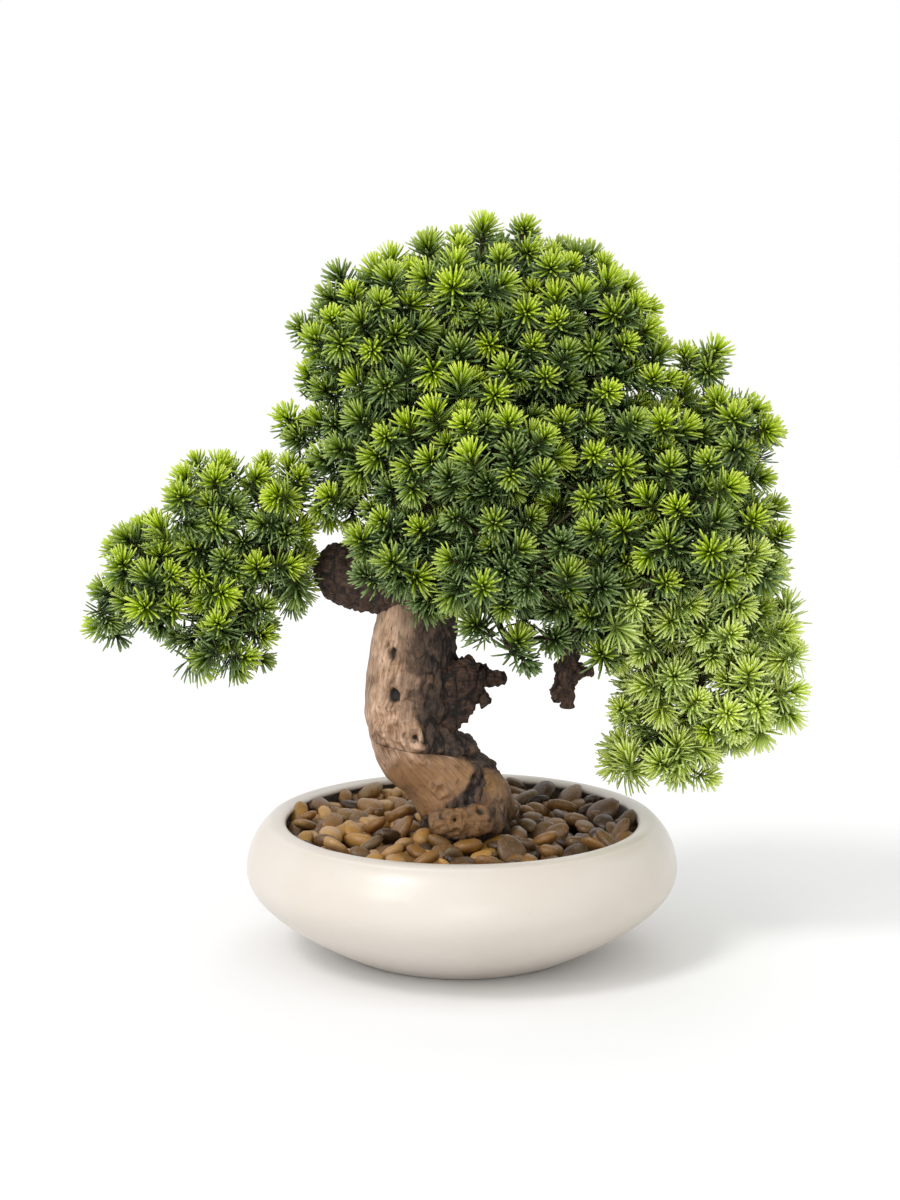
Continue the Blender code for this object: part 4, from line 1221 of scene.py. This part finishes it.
@dataclass
class Foliage:
    """All the needle tufts, spread over the sprays and built in one mesh per spray.

    Each layer has its depth, how much further in its skin lies, how far apart its tufts
    are as a share of the gap, and its rays from each egg.  A bare room is a height,
    measured along a line of sight from a little above, under which no tuft grows
    between two places along X, so that trunk and limb stay clear.
    """

    gap: float = 0.0245
    reach: float = 0.0145
    clump: float = 0.85
    clump_size: float = 0.042
    width: float = 0.00118
    blend: float = 4.5
    split_z: float = 0.4525
    pivot_right: float = 0.116
    pivot_left: float = -0.116
    pivot_tail: float = 0.262
    clear: float = 0.0040
    clear_deep: float = 0.0070
    sight: float = 0.178
    layers: tuple[tuple[float, float, float, int], ...] = (
        (0.0, -0.002, 1.15, 210), (0.0, 0.0, 1.0, 210), (0.3, 0.006, 1.0, 210),
        (0.6, 0.014, 0.92, 300), (1.0, 0.022, 0.9, 300), (1.0, 0.028, 0.9, 300))
    bare_rooms: tuple[tuple[float, float, float], ...] = (
        (0.267, -0.118, 0.038), (0.256, -0.118, 0.052),
        (0.338, -0.124, -0.080), (0.300, -0.118, -0.048))
    seed: int = 5
    fresh: tuple[Whorl, ...] = (Whorl(30, 5.0, 74.0, 0.000, 0.0045, 0.0170, 0.02),
                                Whorl(24, 44.0, 98.0, 0.007, 0.0150, 0.0190, 0.70))
    old: tuple[Whorl, ...] = (Whorl(24, 10.0, 95.0, 0.000, 0.0080, 0.0180, 0.84),)

    def carrier(self, points: Array) -> tuple[Array, Array]:
        """Which bough's room each point lies in, and how far it is from the nearest gap.

        The rooms' borders are the joint planes, made wavy by a few millimetres of noise.

        Args:
            points: Places, shape (n, 3).

        Returns:
            Number of the bough in the order of Bough, and the distance.
        """
        x = points[:, 0] + 0.0065 * lattice(points / 0.026, 91)
        z = points[:, 2] + 0.0055 * lattice(points / 0.028, 92)
        boughs = list(Bough)
        kind = np.full(len(points), boughs.index(Bough.TRUNK))
        room = np.abs(z - self.split_z)
        low = z < self.split_z
        right, left = low & (x > self.pivot_right), low & (x < self.pivot_left)
        room = np.where(low, np.minimum(room, np.minimum(np.abs(x - self.pivot_right),
                                                         np.abs(x - self.pivot_left))), room)
        room = np.where(right, np.minimum(room, np.abs(z - self.pivot_tail)), room)
        kind[~low] = boughs.index(Bough.CROWN)
        kind[right] = boughs.index(Bough.RIGHT)
        kind[right & (z < self.pivot_tail)] = boughs.index(Bough.TAIL)
        kind[left] = boughs.index(Bough.LEFT)
        return kind, room

    def shell(self, shrink: float, rng: np.random.Generator, tries: int) -> tuple[Array, Array]:
        """Random places on the skin that blends all the eggs, and the way out at each.

        With q the distance from an egg's middle in half-widths, the skin is where the sum
        of exp(-blend * (q - 1)) over the eggs is exp(clump * noise), so that it has
        clumps.  From each egg's middle rays go out and the last place on a ray that is
        still inside is taken.

        Args:
            shrink: Length taken off every half-width.
            rng: Source of the ray directions.
            tries: Rays from each egg.

        Returns:
            Places and outward directions, each of shape (n, 3).
        """
        whole = [s for s in SPRAYS if not s.lone]
        middles = np.array([s.middle for s in whole] + [m for m, _ in FILL])
        halves = np.array([s.half for s in whole] + [h for _, h in FILL]) - shrink
        way = unit(rng.normal(size=(len(middles), tries, 3)))
        t = np.linspace(0.55, 1.9, 60)
        start = middles[:, None, None]
        ray = start + way[:, :, None] * halves[:, None, None] * t[None, None, :, None]
        total = np.zeros(ray.shape[:3])
        for middle, half in zip(middles, halves):
            q = np.linalg.norm((ray - middle) / half, axis=-1)
            total += np.exp(-self.blend * (q - 1.0))
        inside = total >= np.exp(self.clump * lattice(ray / self.clump_size, self.seed + 3))
        last = inside.shape[2] - 1 - np.argmax(inside[:, :, ::-1], axis=2)
        fine = inside.any(axis=2) & (last < len(t) - 1)
        spots = np.take_along_axis(ray, last[:, :, None, None], axis=2)[:, :, 0][fine]
        slope = np.zeros(spots.shape)
        for middle, half in zip(middles, halves):
            gone = (spots - middle) / half
            q = np.linalg.norm(gone, axis=-1, keepdims=True)
            slope += np.exp(-self.blend * (q - 1.0)) * gone / half / np.maximum(q, 1e-6)
        return spots, unit(slope)

    def spread(self) -> dict[str, Tufts]:
        """Choose the place and direction of every tuft.

        Places on the blended skin are taken in random order while no tuft is too close,
        first near the surface and then deeper.  Each goes to the nearest egg of the bough
        whose room it lies in.

        Returns:
            The tufts of each spray.
        """
        rng = np.random.default_rng(self.seed)
        boughs = list(Bough)
        whole = [s for s in SPRAYS if not s.lone]
        middles = np.array([s.middle for s in whole])
        halves = np.array([s.half for s in whole])
        kinds = np.array([boughs.index(s.bough) for s in whole])
        chosen: dict[str, list[tuple[Array, Array, float]]] = {s.name: [] for s in SPRAYS}
        taken = np.zeros((0, 3))
        for spray in SPRAYS:
            if spray.lone:
                for spot, way in self.lone_tufts(spray):
                    taken = np.vstack([taken, spot])
                    chosen[spray.name].append((spot, way, 0.0))
        for depth, sink, apart, tries in self.layers:
            spots, normals = self.shell(self.reach + sink, rng, tries)
            least = self.gap * apart * rng.uniform(0.80, 1.12, len(spots))
            order = rng.permutation(len(spots))
            spots, normals = spots[order], normals[order]
            lifts = np.clip(rng.normal(-0.001, 0.004, (len(spots), 1)), -0.010, 0.005)
            spots = spots + normals * lifts
            kind, room = self.carrier(spots)
            q = np.linalg.norm((spots[:, None] - middles) / halves, axis=-1)
            q = np.where(kinds[None] == kind[:, None], q, 99.0)
            owner = q.argmin(axis=1)
            good = (q.min(axis=1) < 1.8) & (room > (self.clear if depth < 0.9 else self.clear_deep))
            seen = spots[:, 2] + self.sight * spots[:, 1]
            for top, left, right in self.bare_rooms:
                good &= ~((seen < top) & (spots[:, 0] > left) & (spots[:, 0] < right))
            for i in np.flatnonzero(good):
                if ((taken - spots[i]) ** 2).sum(axis=1).min() < least[i] ** 2:
                    continue
                taken = np.vstack([taken, spots[i]])
                chosen[whole[owner[i]].name].append((spots[i], normals[i], depth))
        result = {}
        for spray in SPRAYS:
            rows = chosen[spray.name]
            normals = np.array([r[1] for r in rows])
            lift = np.where(normals[:, 2:] > -0.35, 0.62, 0.22) * np.array([[0.0, 0.0, 1.0]])
            ways = unit(normals + lift + rng.normal(0, 0.56, normals.shape))
            result[spray.name] = Tufts(np.array([r[0] for r in rows]), ways,
                                       np.array([r[2] for r in rows]))
        return result

    @staticmethod
    def lone_tufts(spray: Spray) -> list[tuple[Array, Array]]:
        """Five tufts at the end of a lone sprig: one leading and four beside it."""
        side = -1.0 if spray.middle[0] < 0 else 1.0
        middle = np.array(spray.middle)
        steps = ((0.001, -0.004, 0.005, 0.7, -0.45, 0.60), (-0.016, 0.014, -0.002, 0.3, 0.7, 0.5),
                 (-0.025, -0.012, 0.004, 0.2, -0.6, 0.7), (-0.006, -0.015, -0.010, 0.5, -0.8, -0.1),
                 (-0.004, 0.012, -0.008, 0.7, 0.5, 0.0))
        return [(middle + np.array([a * side, b, c]), unit(np.array([d * side, e, f])))
                for a, b, c, d, e, f in steps]

    def needles(self, tufts: Tufts, pick: Array, whorls: tuple[Whorl, ...], pale: float,
                rng: np.random.Generator) -> tuple[Array, ...]:
        """Root, direction, bend, length, how old it looks with painted shade added, and bleaching
        of each needle of some tufts.

        Round a twig the needles follow the golden angle, and their lean from the twig
        grows evenly from the whorl's near to its far angle.  Deep tufts, tufts below the
        crown and needles that point down are darker, as painted shade.  On pale sprays the
        chance that a tuft is bleached grows downwards.

        Args:
            tufts: The tufts.
            pick: Which of them to dress.
            whorls: The whorls on each twig.
            pale: How much paler than usual the spray is.
            rng: Source of small differences.

        Returns:
            Six arrays over all needles.
        """
        spots, ways, depths = tufts.spots[pick], tufts.ways[pick], tufts.depths[pick]
        roots, aims, bends, lengths, ages, faded = [], [], [], [], [], []
        first = unit(np.cross(ways, unit(rng.normal(size=ways.shape))))
        second = np.cross(ways, first)
        own_age_and_shade = rng.choice([-0.02, 0.18, 0.56], len(spots), p=[0.44, 0.26, 0.30])
        # deeper tufts are darker: painted shade inside the foliage
        own_age_and_shade = own_age_and_shade + rng.normal(0.02, 0.10, len(spots)) + 0.38 * depths
        # tufts below the crown near the trunk are darker: painted shadow of the crown
        shaded = 0.30 * np.clip(0.42 - spots[:, 2], 0.0, 0.08) / 0.08
        own_age_and_shade += shaded * (np.abs(spots[:, 0] - 0.02) < 0.10)
        own_size = rng.uniform(0.80, 1.18, len(spots))
        chance = np.clip((0.350 - spots[:, 2]) / 0.090, 0.0, 0.94) * (pale > 0.2)
        bleached = rng.random(len(spots)) < chance
        for whorl in whorls:
            k = np.arange(whorl.count)
            t = (k + 0.5) / whorl.count
            lean = np.radians(whorl.near + (whorl.far - whorl.near) * t ** 0.75)
            lean = lean[None] + rng.normal(0, 0.08, (len(spots), whorl.count))
            turn = k * GOLDEN + rng.uniform(0, TAU, (len(spots), 1)) + rng.normal(
                0, 0.10, (len(spots), whorl.count))
            side = (first[:, None] * np.cos(turn)[..., None]
                    + second[:, None] * np.sin(turn)[..., None])
            aim = ways[:, None] * np.cos(lean)[..., None] + side * np.sin(lean)[..., None]
            back = whorl.back_near + (whorl.back_far - whorl.back_near) * t
            root = spots[:, None] - ways[:, None] * back[None, :, None] + side * 0.0007
            long = whorl.length * (0.78 + 0.22 * t)[None] * own_size[:, None]
            long = long * rng.uniform(0.88, 1.06, long.shape)
            age = whorl.age + own_age_and_shade[:, None] + 0.16 * t[None] + rng.normal(0, 0.05, long.shape)
            # needles that point down are darker: painted shade under each tuft
            age = age + 0.20 * (0.45 - aim[..., 2])
            age = age * (1.0 - 0.35 * pale) + 0.08 * pale
            faded.append(np.broadcast_to(bleached[:, None], age.shape).reshape(-1))
            roots.append(root.reshape(-1, 3))
            aims.append(aim.reshape(-1, 3))
            along = (ways[:, None] * aim).sum(-1, keepdims=True)
            bends.append((ways[:, None] - aim * along).reshape(-1, 3))
            lengths.append(long.reshape(-1))
            ages.append(age.reshape(-1))
        return tuple(np.concatenate(part) for part in (roots, aims, bends, lengths, ages, faded))

    def blades(self, roots: Array, aims: Array, bends: Array, lengths: Array, ages: Array,
               faded: Array, rng: np.random.Generator) -> tuple[Array, list[Array], Array]:
        """Skin of every needle: three rings of three points and a tip.

        A ring at share t of the length lies at root + aim * length * t + bend * t^2, and
        its half-width follows the moulding: narrow root, full middle, rounded tip.

        Args:
            roots: Root of each needle.
            aims: Direction.
            bends: Way in which it curves.
            lengths: Length.
            ages: 0 fresh to 1 old, with painted shade added.
            faded: Whether the sun has bleached it.
            rng: Source of small differences.

        Returns:
            Points, faces and the UV place of each point.
        """
        n = len(roots)
        shares = np.array([0.0, 0.50, 0.90])
        widths = np.array([0.60, 1.0, 0.84]) * self.width
        flat = unit(np.cross(aims, unit(bends + 1e-6)))
        thick = np.cross(flat, aims)
        angle = np.radians([90.0, 210.0, 330.0])
        curve = bends * (0.16 * lengths * rng.uniform(0.3, 1.2, n))[:, None]
        middle = (roots[:, None] + aims[:, None] * (lengths[:, None] * shares)[..., None]
                  + curve[:, None] * (shares ** 2)[None, :, None])
        ring = (flat[:, None, None] * np.cos(angle)[None, None, :, None]
                + thick[:, None, None] * (0.62 * np.sin(angle))[None, None, :, None])
        rings = middle[:, :, None] + ring * widths[None, :, None, None]
        tip = roots + aims * lengths[:, None] + curve
        points = np.concatenate([rings.reshape(n, 9, 3), tip[:, None]], axis=1)
        quads = np.array([[r * 3 + c, r * 3 + (c + 1) % 3, r * 3 + 3 + (c + 1) % 3, r * 3 + 3 + c]
                          for r in range(2) for c in range(3)])
        tris = np.array([[6, 7, 9], [7, 8, 9], [8, 6, 9], [2, 1, 0]])
        shift = (np.arange(n) * 10)[:, None, None]
        faces = [(f[None] + shift).reshape(-1, f.shape[1]) for f in (quads, tris)]
        along = np.array([0.03] * 3 + [0.5] * 3 + [0.88] * 3 + [0.97])
        half = np.where(faded, 0.5, 0.0)[:, None]
        shade = np.array([0.0, 0.004, 0.008] * 3 + [0.004])
        uv = np.stack([half + 0.5 * (np.clip(ages, 0.02, 0.96)[:, None] + shade[None]),
                       np.broadcast_to(along, (n, 10))], axis=-1)
        return points.reshape(-1, 3), faces, uv.reshape(-1, 2)

    @staticmethod
    def tubes(lines: Array, radius: Array, sides: int = 5) -> tuple[Array, list[Array]]:
        """Closed round tubes along many lines at once.

        Args:
            lines: Places along each line, shape (n, rows, 3).
            radius: Radius at each row, shape (rows,).
            sides: Corners round a tube.

        Returns:
            Points and faces.
        """
        n, rows = lines.shape[:2]
        way = unit(np.gradient(lines, axis=1))
        first = unit(np.cross(way, np.array([0.31, 0.52, 0.79])))
        second = np.cross(way, first)
        angle = np.arange(sides) / sides * TAU
        rings = lines[:, :, None] + radius[None, :, None, None] * (
            first[:, :, None] * np.cos(angle)[None, None, :, None]
            + second[:, :, None] * np.sin(angle)[None, None, :, None])
        shift = (np.arange(n) * rows * sides)[:, None, None]
        ring = np.arange(sides)
        caps = np.stack([ring[::-1], ring + (rows - 1) * sides])
        faces = [(grid_faces(rows, sides)[None] + shift).reshape(-1, 4),
                 (caps[None] + shift).reshape(-1, sides)]
        return rings.reshape(-1, 3), faces

    def twigs(self, spray: Spray, tufts: Tufts) -> tuple[Array, list[Array]]:
        """Main stem of a spray and a thin twig from it to each tuft.

        A twig is the curve (1 - t)^2 a + 2 t (1 - t) b + t^2 c from the tuft a, through
        a bend b straight behind it, to c near the spray's middle.

        Args:
            spray: The spray.
            tufts: Its tufts.

        Returns:
            Points and faces.
        """
        middle = np.array(spray.middle)
        t = np.linspace(0, 1, 6)[None, :, None]
        start = tufts.spots + tufts.ways * 0.002
        heart = start + (middle - start) * (0.95 if spray.lone else 0.66)
        bend = start - tufts.ways * 0.020
        line = (start[:, None] * (1 - t) ** 2 + 2 * bend[:, None] * t * (1 - t)
                + heart[:, None] * t ** 2)
        thin, skin = self.tubes(line, np.linspace(0.0007, 0.0015, 6))
        end = middle if spray.lone else middle + (middle - np.array(spray.stem[-1])) * 0.15
        knots = np.array([*spray.stem, tuple(end)], float)
        thick = 0.0016 if spray.lone else 0.0040
        main, bark = self.tubes(through(knots, 24)[None], np.linspace(thick, thick * 0.45, 24), 9)
        return np.vstack([thin, main]), skin + [f + len(thin) for f in bark]

    def build(self) -> None:
        """Make the tufts and twigs of every spray."""
        green = NeedleGreen().material()
        brown = StemPlastic().material()
        plan = self.spread()
        rng = np.random.default_rng(self.seed + 1)
        total = 0
        boughs_done: set[Bough] = set()
        for spray in SPRAYS:
            tufts = plan[spray.name]
            outer = tufts.depths < 0.9
            # deep tufts get the old whorls, darker partly as older needles and partly as painted
            # shade inside the foliage
            parts = [self.needles(tufts, outer, self.fresh, spray.pale, rng)]
            if (~outer).any():
                parts.append(self.needles(tufts, ~outer, self.old, spray.pale, rng))
            joined = [np.concatenate(p) for p in zip(*parts)]
            points, faces, uv = self.blades(*joined, rng)
            made = piece(f"{spray.name}_tufts", points, outward(points, faces), green, uv,
                         NEEDLE_UV)
            settle(made, spray.bough.value, "needles", f"{spray.name}_needles")
            line, skin = self.twigs(spray, tufts)
            twig = piece(f"{spray.name}_twigs", line, outward(line, skin), brown)
            node = f"{spray.name}_stem"
            if spray.bough is not Bough.TRUNK and spray.bough not in boughs_done:
                node = spray.bough.value.removesuffix("_body")
                boughs_done.add(spray.bough)
            settle(twig, spray.bough.value, "stem", *((node,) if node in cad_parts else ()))
            total += len(tufts.spots)
        log.info("%d tufts in %d sprays", total, len(SPRAYS))


# ------------------------------------------------------------------ carried-over nodes
@dataclass
class PlainParts:
    """Nodes of the plain model that stay as they are and only get a better finish."""

    def dress(self) -> None:
        """Give every node that is kept its finish."""
        stem = StemPlastic().material()
        filling = Hidden("filling", srgb(62, 52, 42), srgb(34, 27, 21)).material()
        steel = Hidden("rod_steel", srgb(140, 140, 142), srgb(110, 108, 106), 1.0).material()
        for name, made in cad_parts.items():
            finish = {"filler_block": filling, "anchor_rod": steel}.get(name)
            if finish is None and (name.endswith("_stem") or name.endswith("_bough")):
                finish = stem
            if finish is not None:
                for place in made.material_slots:
                    place.material = finish
                log.info("%s dressed", name)


# ------------------------------------------------------------------ studio
@dataclass
class Studio:
    """Camera, floor and soft light."""

    lens: float = 90.0
    distance: float = 2.4
    tilt: float = 10.1
    aim: tuple[float, float, float] = (-0.0096, 0.0, 0.287)
    air: float = 1.0
    daylight: float = 0.95
    floor_half: float = 60.0

    def camera(self) -> None:
        """Look at the tree from the front, a little from above."""
        data = bpy.data.cameras.new("camera")
        data.lens = self.lens
        data.sensor_width = 36.0
        data.clip_end = 30.0
        made = bpy.data.objects.new("camera", data)
        up = math.radians(self.tilt)
        away = Vector((0.0, -math.cos(up), math.sin(up)))
        made.location = Vector(self.aim) + away * self.distance
        made.rotation_euler = (math.pi / 2 - up, 0.0, 0.0)
        bpy.context.scene.collection.objects.link(made)
        bpy.context.scene.camera = made

    def floor(self) -> None:
        """Lay a wide pale floor."""
        signs = np.array([[-1, -1, 0], [1, -1, 0], [1, 1, 0], [-1, 1, 0]], float)
        made = piece("floor", signs * self.floor_half, [np.array([[0, 1, 2, 3]])],
                     FloorPaper().material(), smooth=False)

    def lamp(self, name: str, place: tuple[float, float, float], size: float, power: float,
             colour: Colour = (1.0, 1.0, 1.0)) -> None:
        """Hang one soft square lamp aimed at the tree.

        Args:
            name: Its name.
            place: Where it hangs.
            size: Side of the square.
            power: Watts.
            colour: Light colour.
        """
        data = bpy.data.lights.new(name, "AREA")
        data.size = size
        data.energy = power
        data.color = colour
        made = bpy.data.objects.new(name, data)
        made.location = place
        way = Vector((0.0, 0.0, 0.3)) - Vector(place)
        made.rotation_euler = way.to_track_quat("-Z", "Y").to_euler()
        bpy.context.scene.collection.objects.link(made)

    def sun(self) -> None:
        """A wide soft sun from the upper left front, which lights the floor evenly."""
        data = bpy.data.lights.new("daylight", "SUN")
        data.energy = self.daylight
        data.angle = math.radians(16.0)
        made = bpy.data.objects.new("daylight", data)
        made.rotation_euler = Vector((0.62, 0.55, -1.0)).to_track_quat("-Z", "Y").to_euler()
        bpy.context.scene.collection.objects.link(made)

    def build(self) -> None:
        """Set up the studio."""
        self.camera()
        self.floor()
        world = bpy.data.worlds.new("studio_air")
        world.use_nodes = True
        air = world.node_tree.nodes["Background"]
        air.inputs["Color"].default_value = (1.0, 1.0, 1.0, 1.0)
        air.inputs["Strength"].default_value = self.air
        bpy.context.scene.world = world
        self.lamp("key", (-1.6, -1.8, 1.35), 0.8, 13.5)
        self.lamp("front", (0.2, -2.6, 0.20), 1.2, 10.0)
        self.lamp("back", (0.6, 1.7, 1.9), 1.2, 6.0)
        self.sun()
        bpy.context.scene.view_settings.view_transform = "Standard"


def main() -> None:
    """Build everything in order."""
    logging.basicConfig(level=logging.INFO, format="%(message)s")
    Studio().build()
    Bowl().build()
    Pebbles().build()
    Trunk().build()
    Foliage().build()
    PlainParts().dress()
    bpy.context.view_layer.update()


if __name__ == "__main__":
    main()
